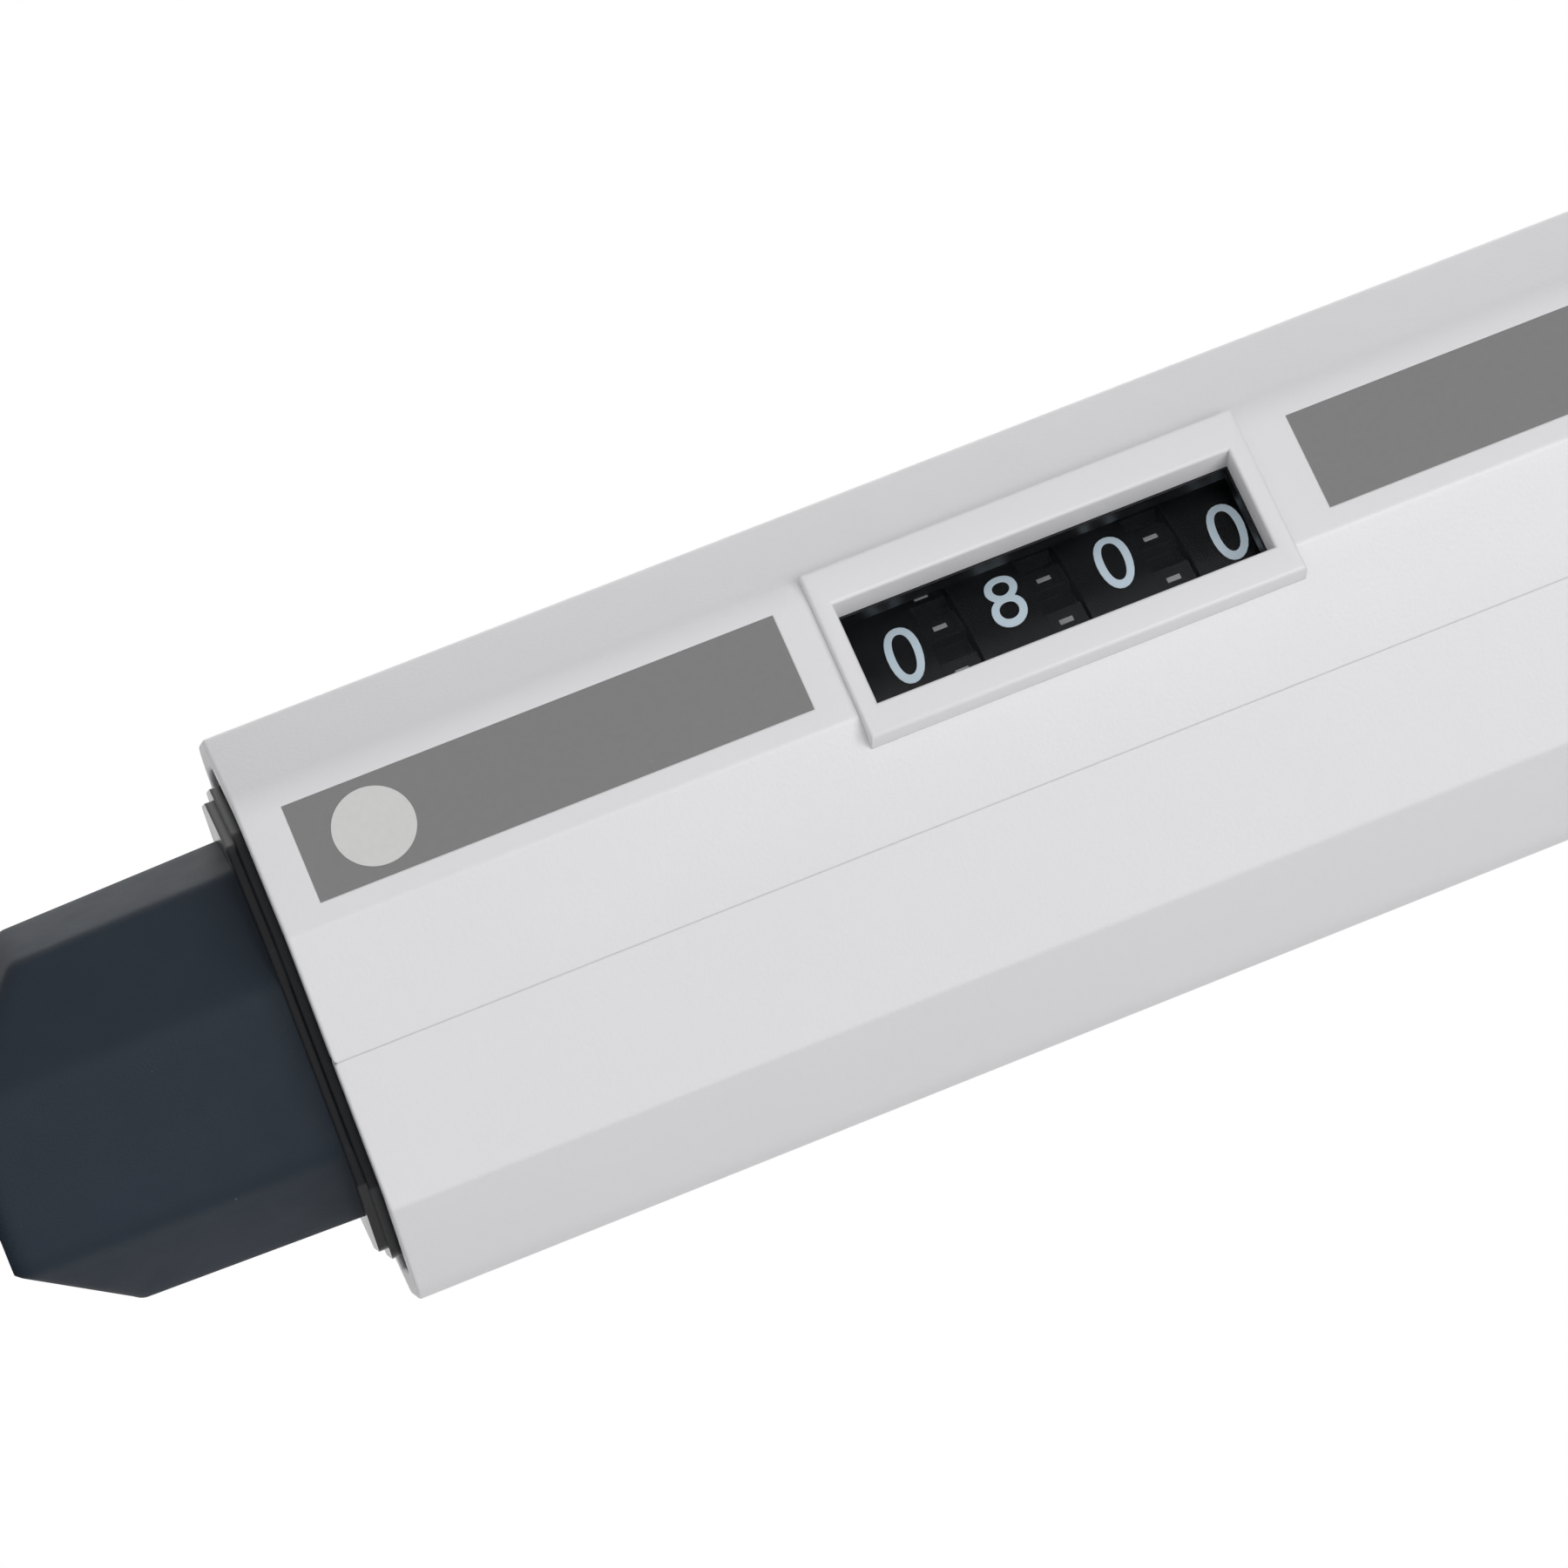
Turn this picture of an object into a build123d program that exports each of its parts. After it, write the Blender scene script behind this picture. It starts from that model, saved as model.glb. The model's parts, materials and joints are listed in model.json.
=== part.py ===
"""Eight-channel hand pipette with a faceted handle, a digit counter and a swivelling tip head.

Frame: +Z runs up the plunger, the eight tip cones point down and their ends lie at Z = 0.
The cones stand in a row along X. Lengths are in millimetres.
"""
from build123d import *
from math import cos, pi, radians, sin
import os

# ---------------------------------------------------------------- tip row and pumping
CHANNELS = 8
PITCH = 9.0
PISTON_R = 4.5
VOLUME_SET = 800.0
VOLUME_MIN = 100.0
VOLUME_MAX = 1000.0
BLOW_OUT = 3.0
EJECT_STROKE = 10.5
STAGGER = 3.4

# ---------------------------------------------------------------- clearances
SLIDE_GAP = 0.3
RUN_GAP = 0.1
SEAT_GAP = 0.02

# ---------------------------------------------------------------- tip cones and comb
LAND_R = 3.4
LAND_LENGTH = 3.0
CONE_R = 3.45
CONE_LENGTH = 19.0
SHANK_R = 2.9
SHANK_LENGTH = 6.8
AIR_R = 1.2
RING_WIRE_R = 0.36
GROOVE_DEPTH = 0.6
COMB_BOTTOM = 14.5
COMB_THICK = 3.0
COMB_DEPTH = 13.0

# ---------------------------------------------------------------- head
HEAD_WALL = 2.0
HEAD_END_GAP = 1.0
HEAD_FRONT_GAP = 2.0
HEAD_CORNER_R = 3.0
SHOULDER_HALF = 16.0
SHOULDER_DROP = 10.0
BASE_THICK = 4.0
BLOCK_DEPTH = 22.0
CHAMBER_GAP = 0.3
SEAL_R = 5.3
SEAL_HEIGHT = 3.0
PLATE_THICK = 3.0
PLATE_DEPTH = 19.0
PISTON_STEM_R = 1.8
CUP_R = 6.5
CUP_HEIGHT = 4.3
CUP_CAP = 2.5
FOOT_R = 4.0
FOOT_THICK = 2.0
POST_R = 1.5
POST_Y = 6.8
BAR_THICK = 3.0
BAR_DEPTH = 8.0
BAR_END_DROP = 7.5
HUB_R = 6.0
ARM_THICK = 2.0
ARM_GAP = 0.8
RING_THICK = 2.0
RING_R = 6.8
COLLAR_R = 9.0
COLLAR_TOP_R = 6.4
COLLAR_HEIGHT = 5.0

# ---------------------------------------------------------------- neck
STEM_R = 4.8
STEM_SHOWING = 3.4
NECK_HALF_WIDTH = 10.0
NECK_HALF_DEPTH = 8.8
NECK_BEVEL = 5.2
NECK_BEVEL_DEPTH = 4.9
NECK_CORNER_R = 0.8
NECK_STRAIGHT = 13.4
NECK_SHOULDER_ANGLE = 43.0
NECK_INSIDE = 6.5
TUBE_R = 3.9
TUBE_BORE_R = 2.6
ROD_R = 2.0

# ---------------------------------------------------------------- casing, measured from its mouth
CASING_LENGTH = 112.0
CASING_HALF_WIDTH = 16.2
CASING_HALF_DEPTH = 12.0
FLAT_HALF = 7.7
CORNER_X = 14.3
CORNER_Y = 7.3
CASING_WALL = 1.5
PARTING_X = -0.7
SIDE_FILLET = 4.0
RIDGE_FILLET = 1.5
FLAT_FILLET = 0.5
PLUG_GAP = 1.0
PLUG_PROUD = 1.0
PLUG_DEPTH = 3.2
WEB_THICK = 2.0
STOP_WEB = 72.0
STOP_WEB_R = 8.0
SCREW_LEVELS = (10.0, 27.0)
SCREW_Y = 7.8
BOSS_R = 2.2
SCREW_R = 1.0
SCREW_HEAD_R = 1.8
SCREW_HEAD_HEIGHT = 1.0
SCREW_SINK = 1.2

# ---------------------------------------------------------------- display
WINDOW_BOTTOM = 32.45
WINDOW_TOP = 54.65
WINDOW_FROM = -0.5
WINDOW_TO = 5.4
BEZEL_MARGIN = 1.05
BEZEL_FROM = -2.25
BEZEL_TO = 7.55
BEZEL_PROUD = 0.45
LENS_THICK = 0.7
LENS_MARGIN = 0.7
SKIRT_WALL = 0.9
LENS_DEPTH = 11.4
LABEL_LENGTH = 27.1
LABEL_FROM = 0.54
LABEL_TO = 6.2
LABEL_THICK = 0.4
LABEL_LOWER = 2.3
LABEL_UPPER = 58.25

# ---------------------------------------------------------------- counter
WHEEL_R = 10.1
WHEEL_PITCH = 6.1
WHEEL_GAP = 0.2
WHEEL_BOTTOM = 33.0
WHEEL_TEETH = 20
WHEEL_BAND = 3.9
TOOTH_DEPTH = 0.7
SLEEVE_R = 5.5
KEY_ACROSS = 5.0
KEY_GAP = 0.15
FRAME_THICK = 1.4
FRAME_BAR_X = 12.0
FRAME_BAR_Y = 5.0
FRAME_BAR_R = 1.2
PINION_MESH = 2.15
PINION_Y = 0.5
PINION_R = 1.8
PINION_ROOT_R = 1.4
PINION_TEETH = 8
PINION_HEIGHT = 4.0
SHAFT_R = 0.8

# ---------------------------------------------------------------- volume stop, plunger and button
THREAD_R = 3.5
NUT_R = 7.5
NUT_HEIGHT = 5.0
NUT_ROOM = 28.0
NUT_EAR = 2.0
NUT_EAR_REACH = 9.6
NUT_EAR_HEIGHT = 2.5
GUIDE_THICK = 1.5
STOP_PLATE_R = 9.4
STOP_PLATE_THICK = 2.0
SLEEVE_FLANGE_R = 7.0
SLEEVE_FLANGE = 3.0
PLUNGER_R = 5.2
PLUNGER_BORE_R = 3.8
BUSH_R = 7.1
BUSH_FLANGE_R = 9.0
BUSH_LENGTH = 6.0
CAP_INSIDE = 5.0
CAP_HEIGHT = 3.0
BUTTON_R = 8.0
BUTTON_HEIGHT = 9.0
BUTTON_CAP_R = 6.5
BUTTON_CAP = 1.2
BUTTON_RECESS = 0.6

# ---------------------------------------------------------------- ejector
EJECT_X = 12.2
EJECT_ROD_R = 1.5
YOKE_BOTTOM = 18.0
YOKE_THICK = 3.0
YOKE_R = 5.5
EJECT_CLIP = 95.0
EJECT_CLIP_R = 2.2
EJECT_PAD_DEPTH = 11.0
EJECT_PAD_FROM = 8.8
EJECT_PAD_TO = 16.2
EJECT_PAD_HEIGHT = 5.0

# ---------------------------------------------------------------- finger rest
REST_WIDTH = 14.0
REST_PAD = 2.5
REST_BOTTOM = 82.0
REST_TOP = 105.0
REST_REACH = 26.0
REST_ARM = 5.0
REST_DROP = 13.0

# ---------------------------------------------------------------- springs
SPRING_GAP = 0.2
RETURN_WIRE_R = 0.35
RETURN_TURNS = 14
BLOW_WIRE_R = 0.5
BLOW_TURNS = 4
EJECT_WIRE_R = 0.22
EJECT_TURNS = 12

# ================================================================ levels worked out upwards
PISTON_AREA = pi * PISTON_R ** 2
MAX_STROKE = VOLUME_MAX / PISTON_AREA
SET_STROKE = VOLUME_SET / PISTON_AREA
MIN_STROKE = VOLUME_MIN / PISTON_AREA
FULL_TRAVEL = MAX_STROKE + BLOW_OUT
HALF_ROW = PITCH * (CHANNELS - 1) / 2

BASE_BOTTOM = CONE_LENGTH
BASE_TOP = BASE_BOTTOM + BASE_THICK
CHAMBER_FLOOR = BASE_TOP + 3.5
PISTON_BOTTOM = CHAMBER_FLOOR + FULL_TRAVEL + 0.5
BLOCK_TOP = PISTON_BOTTOM + SEAL_HEIGHT - 0.7
PLATE_BOTTOM = BLOCK_TOP + FULL_TRAVEL + 0.5
PLATE_TOP = PLATE_BOTTOM + PLATE_THICK
CUP_TOP = PLATE_TOP + CUP_HEIGHT
COUPLING_TOP = CUP_TOP + CUP_CAP
FOOT_BOTTOM = PLATE_TOP + SLIDE_GAP + 1.0
HUB_BOTTOM = COUPLING_TOP + EJECT_STROKE + 0.5
HUB_TOP = HUB_BOTTOM + BAR_THICK
STEM_BOTTOM = HUB_TOP + 1.0
CEILING = STEM_BOTTOM + RING_THICK + SLIDE_GAP
HEAD_TOP = CEILING + HEAD_WALL
COLLAR_TOP = HEAD_TOP + COLLAR_HEIGHT
SHOULDER_BOTTOM = COLLAR_TOP + STEM_SHOWING
SHOULDER_RISE = (NECK_HALF_WIDTH - STEM_R) / sin(radians(NECK_SHOULDER_ANGLE))
SHOULDER_RISE *= cos(radians(NECK_SHOULDER_ANGLE))
MOUTH = SHOULDER_BOTTOM + SHOULDER_RISE + NECK_STRAIGHT

BLOCK_HALF = HALF_ROW + SEAL_R + 1.6
ARM_INSIDE = BLOCK_HALF + ARM_GAP
ARM_OUTSIDE = ARM_INSIDE + ARM_THICK
HEAD_LENGTH = 2 * (ARM_OUTSIDE + SLIDE_GAP + HEAD_END_GAP + HEAD_WALL)
HEAD_DEPTH = BLOCK_DEPTH + 2 * (HEAD_FRONT_GAP + HEAD_WALL)
HEAD_SCREW_LEVEL = BASE_TOP + 12.0
PINION_X = -(WHEEL_R + PINION_MESH)
FRAME_BOTTOM = WHEEL_BOTTOM - FRAME_THICK - 0.1
COUNTER_TOP = WHEEL_BOTTOM + 4 * WHEEL_PITCH
FRAME_TOP = COUNTER_TOP + 0.5 + FRAME_THICK
STOP_PLATE_TOP = STOP_WEB
UPPER_STOP = STOP_PLATE_TOP + NUT_ROOM
BUSH_WEB = UPPER_STOP + 1.0
NUT_BOTTOM = STOP_PLATE_TOP + SET_STROKE
THREAD_BOTTOM = STOP_PLATE_TOP + MIN_STROKE
CAP_TOP = CASING_LENGTH + CAP_HEIGHT
BUTTON_BOTTOM = CAP_TOP + FULL_TRAVEL + 0.5
PAD_BOTTOM = CAP_TOP + EJECT_STROKE + 0.5

# The label facet of the casing: its outward normal, its direction across and its distance from the axis.
FACET_RUN = Vector(CORNER_X - FLAT_HALF, CASING_HALF_DEPTH - CORNER_Y, 0)
FACET_TILT = FACET_RUN.get_angle(Vector(1, 0, 0))
FACET_NORMAL = Vector(-sin(radians(FACET_TILT)), -cos(radians(FACET_TILT)), 0)
FACET_ACROSS = Vector(-cos(radians(FACET_TILT)), sin(radians(FACET_TILT)), 0)
FACET_DEPTH = -FACET_NORMAL.X * FLAT_HALF - FACET_NORMAL.Y * CASING_HALF_DEPTH


# ================================================================ small helpers
def at(solid, x=0.0, y=0.0, z=0.0):
    """Move a shape by X, Y and Z."""
    return Pos(x, y, z) * solid


def rod(radius, bottom, top, x=0.0, y=0.0):
    """A round bar along Z between two levels."""
    return at(Cylinder(radius, top - bottom, align=(Align.CENTER, Align.CENTER, Align.MIN)), x, y, bottom)


def ring(outer, inner, bottom, top, x=0.0, y=0.0):
    """A round tube along Z between two levels."""
    return rod(outer, bottom, top, x, y) - rod(inner, bottom - 1, top + 1, x, y)


def block(x_from, x_to, y_from, y_to, z_from, z_to):
    """A box given by its faces."""
    size = (x_to - x_from, y_to - y_from, z_to - z_from)
    return at(Box(*size), (x_from + x_to) / 2, (y_from + y_to) / 2, (z_from + z_to) / 2)


def prism(outline, bottom, top):
    """A flat outline in XY drawn up between two levels."""
    return at(extrude(outline, top - bottom, dir=(0, 0, 1)), z=bottom)


def group(shapes):
    """Several separate solids kept together as one node."""
    return Compound(children=[solid for shape in shapes for solid in shape.solids()])


def channel_places():
    """The centre of each channel's tip cone and of its bore, which lie alternately behind and in front."""
    for index in range(CHANNELS):
        x = index * PITCH - HALF_ROW
        yield x, STAGGER if index % 2 == 0 else -STAGGER


def spring(mean_r, wire_r, bottom, top, turns, x=0.0, y=0.0):
    """A coil spring whose wire runs between two levels."""
    height = top - bottom - 2 * wire_r
    path = Helix(pitch=height / turns, height=height, radius=mean_r)
    profile = Plane(origin=path @ 0, z_dir=path % 0) * Circle(wire_r)
    return at(sweep(profile, path=path, is_frenet=True), x, y, bottom + wire_r)


def gear(tip_r, root_r, teeth, bottom, top, x=0.0, y=0.0):
    """A small toothed wheel along Z."""
    width = pi * root_r / teeth
    body = rod(root_r, bottom, top)
    tooth = block(root_r / 2, tip_r, -width / 2, width / 2, bottom, top)
    for index in range(teeth):
        body += Rot(0, 0, 360 * index / teeth) * tooth
    return at(body, x, y)


# ================================================================ casing outlines
def casing_points(inset):
    """The ten-cornered casing section, moved inwards by a wall."""
    right = [(FLAT_HALF, CASING_HALF_DEPTH), (CORNER_X, CORNER_Y), (CASING_HALF_WIDTH, 0.0),
             (CORNER_X, -CORNER_Y), (FLAT_HALF, -CASING_HALF_DEPTH)]
    loop = right + [(-x, y) for x, y in reversed(right)]
    face = Polygon(*loop, align=None)
    return offset(face, amount=-inset, kind=Kind.INTERSECTION) if inset else face


def casing_outline(inset=0.0):
    """The casing section with its rounded corners, moved inwards by a wall."""
    face = casing_points(inset)
    fillets = {FLAT_HALF: FLAT_FILLET, CORNER_X: SIDE_FILLET, CASING_HALF_WIDTH: RIDGE_FILLET}
    for reach, radius in fillets.items():
        rounding = max(radius - inset, 0.2)
        corners = [v for v in face.vertices() if nearest_corner(v) == reach]
        face = fillet(corners, rounding)
    return face


def nearest_corner(vertex):
    """Which corner of the section a vertex belongs to, named by that corner's distance from the middle."""
    corners = {FLAT_HALF: CASING_HALF_DEPTH, CORNER_X: CORNER_Y, CASING_HALF_WIDTH: 0.0}
    return min(corners, key=lambda x: abs(abs(vertex.X) - x) + abs(abs(vertex.Y) - corners[x]))


def facet_block(across_from, across_to, depth_from, depth_to, bottom, top):
    """A box lying on the label facet, given across it, through it and along the casing."""
    across = (across_from + across_to) / 2
    depth = (depth_from + depth_to) / 2
    centre = FACET_ACROSS * across + FACET_NORMAL * depth + Vector(0, 0, (bottom + top) / 2)
    plane = Plane(origin=centre, x_dir=FACET_ACROSS, z_dir=FACET_NORMAL)
    return plane * Box(across_to - across_from, top - bottom, depth_to - depth_from)


# ================================================================ handle casing
def casing_body():
    """The whole white casing before it is parted into two shells."""
    outer = prism(casing_outline(), 0, CASING_LENGTH)
    inner = prism(casing_outline(CASING_WALL), -1, CASING_LENGTH + 1)
    bezel = facet_block(BEZEL_FROM, BEZEL_TO, FACET_DEPTH - 1, FACET_DEPTH + BEZEL_PROUD,
                        WINDOW_BOTTOM - BEZEL_MARGIN, WINDOW_TOP + BEZEL_MARGIN)
    skirt = facet_block(WINDOW_FROM - SKIRT_WALL, WINDOW_TO + SKIRT_WALL, LENS_DEPTH, FACET_DEPTH,
                        WINDOW_BOTTOM - SKIRT_WALL, WINDOW_TOP + SKIRT_WALL)
    webs = prism(casing_outline(CASING_WALL / 2), STOP_WEB, STOP_WEB + WEB_THICK)
    webs -= rod(STOP_WEB_R, STOP_WEB - 1, STOP_WEB + WEB_THICK + 1)
    ear = NUT_EAR + SLIDE_GAP
    webs -= block(-ear, ear, -NUT_EAR_REACH - SLIDE_GAP, NUT_EAR_REACH + SLIDE_GAP,
                  STOP_WEB - 1, STOP_WEB + WEB_THICK + 1)
    top_web = prism(casing_outline(CASING_WALL / 2), BUSH_WEB, BUSH_WEB + WEB_THICK)
    webs += top_web - rod(BUSH_R + SEAT_GAP, BUSH_WEB - 1, BUSH_WEB + WEB_THICK + 1)
    filling = skirt + webs + nut_guides()
    for level in SCREW_LEVELS:
        filling += at(Rot(0, 90, 0) * Cylinder(BOSS_R, 2 * CASING_HALF_WIDTH), 0, SCREW_Y, level)
    filling = filling & prism(casing_outline(CASING_WALL / 2), 0, CASING_LENGTH)
    body = (outer - inner) + filling + (bezel - inner)
    body -= facet_block(WINDOW_FROM, WINDOW_TO, LENS_DEPTH - 1, FACET_DEPTH + 3, WINDOW_BOTTOM, WINDOW_TOP)
    for level in (LABEL_LOWER, LABEL_UPPER):
        body -= facet_block(LABEL_FROM, LABEL_TO, FACET_DEPTH - LABEL_THICK, FACET_DEPTH + 1,
                            level, level + LABEL_LENGTH)
    body -= rod(EJECT_ROD_R + SLIDE_GAP, STOP_WEB - 1, CASING_LENGTH, EJECT_X)
    body -= rest_tongue(SEAT_GAP)
    for level in SCREW_LEVELS:
        drill = Rot(0, 90, 0) * Cylinder(SCREW_R + SEAT_GAP, 2 * (CORNER_X - CASING_WALL) - 6)
        body -= at(drill, 3, SCREW_Y, level)
        sink = Rot(0, 90, 0) * Cylinder(SCREW_HEAD_R + RUN_GAP, 2 * CASING_WALL + 2)
        body -= at(sink, CORNER_X - 0.3, SCREW_Y, level)
    return body


def nut_guides():
    """Two pairs of ribs in which the ears of the volume nut slide."""
    ribs = None
    bottom = STOP_WEB + WEB_THICK / 2
    top = STOP_PLATE_TOP + MAX_STROKE + NUT_HEIGHT + 1
    inside = NUT_EAR + SLIDE_GAP
    for x_side in (-1, 1):
        for y_side in (-1, 1):
            xs = sorted((x_side * inside, x_side * (inside + GUIDE_THICK)))
            ys = sorted((y_side * (NUT_R + 1.0), y_side * CASING_HALF_DEPTH))
            rib = block(*xs, *ys, bottom, top)
            ribs = rib if ribs is None else ribs + rib
    return ribs


def casing_half(side):
    """One shell of the casing: side -1 carries the display and side 1 takes the screws."""
    reach = 3 * CASING_HALF_WIDTH
    xs = sorted((PARTING_X, side * reach))
    half = casing_body() & block(*xs, -reach, reach, -1, CASING_LENGTH + 1)
    return at(half, z=MOUTH)


def casing_screws():
    """Two screws that hold the shells together near the mouth."""
    head_x = CORNER_X - CASING_WALL
    screws = []
    for level in SCREW_LEVELS:
        head = Rot(0, 90, 0) * Cylinder(SCREW_HEAD_R, SCREW_HEAD_HEIGHT,
                                        align=(Align.CENTER, Align.CENTER, Align.MAX))
        shank = Rot(0, 90, 0) * Cylinder(SCREW_R, head_x + 6, align=(Align.CENTER, Align.CENTER, Align.MAX))
        screws.append(at(head + shank, head_x, SCREW_Y, MOUTH + level))
    return group(screws)


def display_lens():
    """The clear window bonded to the inner end of the display frame."""
    lens = facet_block(WINDOW_FROM - LENS_MARGIN, WINDOW_TO + LENS_MARGIN,
                       LENS_DEPTH - LENS_THICK, LENS_DEPTH,
                       WINDOW_BOTTOM - LENS_MARGIN, WINDOW_TOP + LENS_MARGIN)
    return at(lens, z=MOUTH)


def label_plate(level):
    """A thin grey plate let into the label facet."""
    plate = facet_block(LABEL_FROM, LABEL_TO, FACET_DEPTH - LABEL_THICK, FACET_DEPTH,
                        level, level + LABEL_LENGTH)
    return at(plate, z=MOUTH)


def neck_outline(margin=0.0):
    """The neck's section: flats in front and at the sides with a bevel between them."""
    x, y = NECK_HALF_WIDTH + margin, NECK_HALF_DEPTH + margin
    bevel_x, bevel_y = x - NECK_BEVEL, y - NECK_BEVEL_DEPTH
    quarter = [(bevel_x, y), (x, bevel_y)]
    loop = quarter + [(a, -b) for a, b in reversed(quarter)]
    loop += [(-a, -b) for a, b in quarter] + [(-a, b) for a, b in reversed(quarter)]
    face = Polygon(*loop, align=None)
    return fillet(face.vertices(), NECK_CORNER_R)


def mouth_plug():
    """The black plug that closes the casing's mouth around the neck."""
    inset = CASING_WALL + PLUG_GAP
    plug = prism(casing_outline(inset), -PLUG_PROUD, PLUG_DEPTH)
    plug += prism(casing_outline(CASING_WALL + SEAT_GAP), PLUG_DEPTH / 2, PLUG_DEPTH)
    tier = prism(casing_outline(inset), -PLUG_PROUD - 1, -PLUG_PROUD / 2)
    plug -= tier - prism(casing_outline(inset + 0.6), -PLUG_PROUD - 1, 0)
    plug -= prism(neck_outline(SEAT_GAP), -PLUG_PROUD - 1, PLUG_DEPTH + 1)
    return at(plug, z=MOUTH)


def neck_housing():
    """The neck: a bevelled body, a shoulder that narrows to a round stem, and a flange inside the casing."""
    top = MOUTH + NECK_INSIDE
    body = prism(neck_outline(), SHOULDER_BOTTOM, top)
    slope = SHOULDER_RISE / (NECK_HALF_WIDTH - STEM_R)
    reach = 2 * NECK_HALF_WIDTH
    side = SHOULDER_BOTTOM + (reach - STEM_R) * slope
    profile = [(0, SHOULDER_BOTTOM - STEM_R * slope), (reach, side), (reach, top + reach),
               (-reach, top + reach), (-reach, side)]
    wedge = extrude(Plane.XZ * Polygon(*profile, align=None), reach, both=True)
    body = body & wedge
    shoulder = SHOULDER_BOTTOM + SHOULDER_RISE
    corners = [e for e in body.edges() if abs(e.center().Z - shoulder) < 0.01 and abs(e.center().Y) < 0.01]
    body = fillet(corners, 1.0)
    body += rod(STEM_R, STEM_BOTTOM, SHOULDER_BOTTOM + 1)
    body += prism(casing_outline(CASING_WALL + SEAT_GAP), MOUTH + PLUG_DEPTH, top)
    body -= rod(TUBE_R + SLIDE_GAP, STEM_BOTTOM - 1, top + 1)
    return body


def stem_ring():
    """The ring on the stem's end that keeps the head on the handle."""
    return ring(RING_R, STEM_R + SEAT_GAP, STEM_BOTTOM, STEM_BOTTOM + RING_THICK)


def top_bush():
    """The bush in the casing's upper web that guides the plunger sleeve."""
    bush = ring(BUSH_R, PLUNGER_R + RUN_GAP, UPPER_STOP, UPPER_STOP + BUSH_LENGTH)
    bush += ring(BUSH_FLANGE_R, PLUNGER_R + RUN_GAP, BUSH_WEB + WEB_THICK, UPPER_STOP + BUSH_LENGTH)
    return at(bush, z=MOUTH)


def top_cap():
    """The cap that closes the casing's top, pierced for the plunger and the ejector rod."""
    cap = prism(casing_outline(), CASING_LENGTH, CAP_TOP)
    cap = fillet(cap.faces().sort_by(Axis.Z)[-1].edges(), 1.2)
    cap += prism(casing_outline(CASING_WALL + SEAT_GAP), CASING_LENGTH - CAP_INSIDE, CASING_LENGTH)
    cap -= rod(PLUNGER_R + SLIDE_GAP, CASING_LENGTH - CAP_INSIDE - 1, CAP_TOP + 1)
    cap -= rod(EJECT_ROD_R + SLIDE_GAP, CASING_LENGTH - CAP_INSIDE - 1, CAP_TOP + 1, EJECT_X)
    return at(cap, z=MOUTH)


def rest_tongue(margin=0.0):
    """The T-shaped tongue of the finger rest, held between the two shells."""
    skin = CASING_HALF_DEPTH
    half = REST_WIDTH / 4
    bottom, top = REST_BOTTOM + 4, REST_TOP - 3
    outer = block(-half - margin, half + margin, skin - 0.8, skin + 0.1, bottom - margin, top + margin)
    inner = block(-half - 1 - margin, half + 1 + margin, skin - CASING_WALL - margin, skin - 0.7,
                  bottom - 1 - margin, top + 1 + margin)
    return outer + inner


def finger_rest():
    """The hook at the back that lies on the index finger."""
    back = CASING_HALF_DEPTH
    tip = back + REST_REACH
    under = REST_TOP - REST_ARM
    inside = tip - REST_ARM
    points = [(back, REST_BOTTOM), (back + REST_PAD, REST_BOTTOM), (back + REST_PAD, under), (inside, under),
              (inside, REST_TOP - REST_DROP), (tip, REST_TOP - REST_DROP), (tip, REST_TOP), (back, REST_TOP)]
    profile = Polygon(*points, align=None)
    rounds = ((0.7 * REST_ARM, back + REST_PAD, inside, under), (1.4 * REST_ARM, tip, tip, REST_TOP),
              (0.45 * REST_ARM, inside, tip, REST_TOP - REST_DROP))
    for radius, low, high, level in rounds:
        corners = [v for v in profile.vertices() if low - 0.1 < v.X < high + 0.1 and abs(v.Y - level) < 0.1]
        profile = fillet(corners, radius)
    body = extrude(Plane.YZ * profile, REST_WIDTH / 2, both=True)
    flanks = [e for e in body.edges() if abs(abs(e.center().X) - REST_WIDTH / 2) < 0.01]
    rounded = [e for e in flanks if e.center().Y > back + 0.5]
    body = fillet(rounded, 0.8) + rest_tongue()
    return at(body, z=MOUTH)


# ================================================================ counter
def counter_frame():
    """The cage of the digit wheels: two plates joined by three bars."""
    plates = []
    for bottom in (FRAME_BOTTOM, FRAME_TOP - FRAME_THICK):
        plate = prism(casing_outline(CASING_WALL + SEAT_GAP), bottom, bottom + FRAME_THICK)
        plate -= rod(SLEEVE_R + RUN_GAP, bottom - 1, bottom + FRAME_THICK + 1)
        plate -= rod(EJECT_ROD_R + SLIDE_GAP, bottom - 1, bottom + FRAME_THICK + 1, EJECT_X)
        plate -= rod(SHAFT_R + SEAT_GAP, bottom - 1, bottom + FRAME_THICK + 1, PINION_X, PINION_Y)
        plates.append(plate)
    frame = plates[0] + plates[1]
    for x, y in ((FRAME_BAR_X, FRAME_BAR_Y), (FRAME_BAR_X, -FRAME_BAR_Y), (-FRAME_BAR_X, FRAME_BAR_Y)):
        frame += rod(FRAME_BAR_R, FRAME_BOTTOM, FRAME_TOP, x, y)
    clear = LENS_DEPTH - LENS_THICK - RUN_GAP
    frame -= facet_block(WINDOW_FROM - 2, WINDOW_TO + 4, clear, clear + 20,
                         WINDOW_BOTTOM - SKIRT_WALL - RUN_GAP, WINDOW_TOP + SKIRT_WALL + RUN_GAP)
    return at(frame, z=MOUTH)


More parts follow.
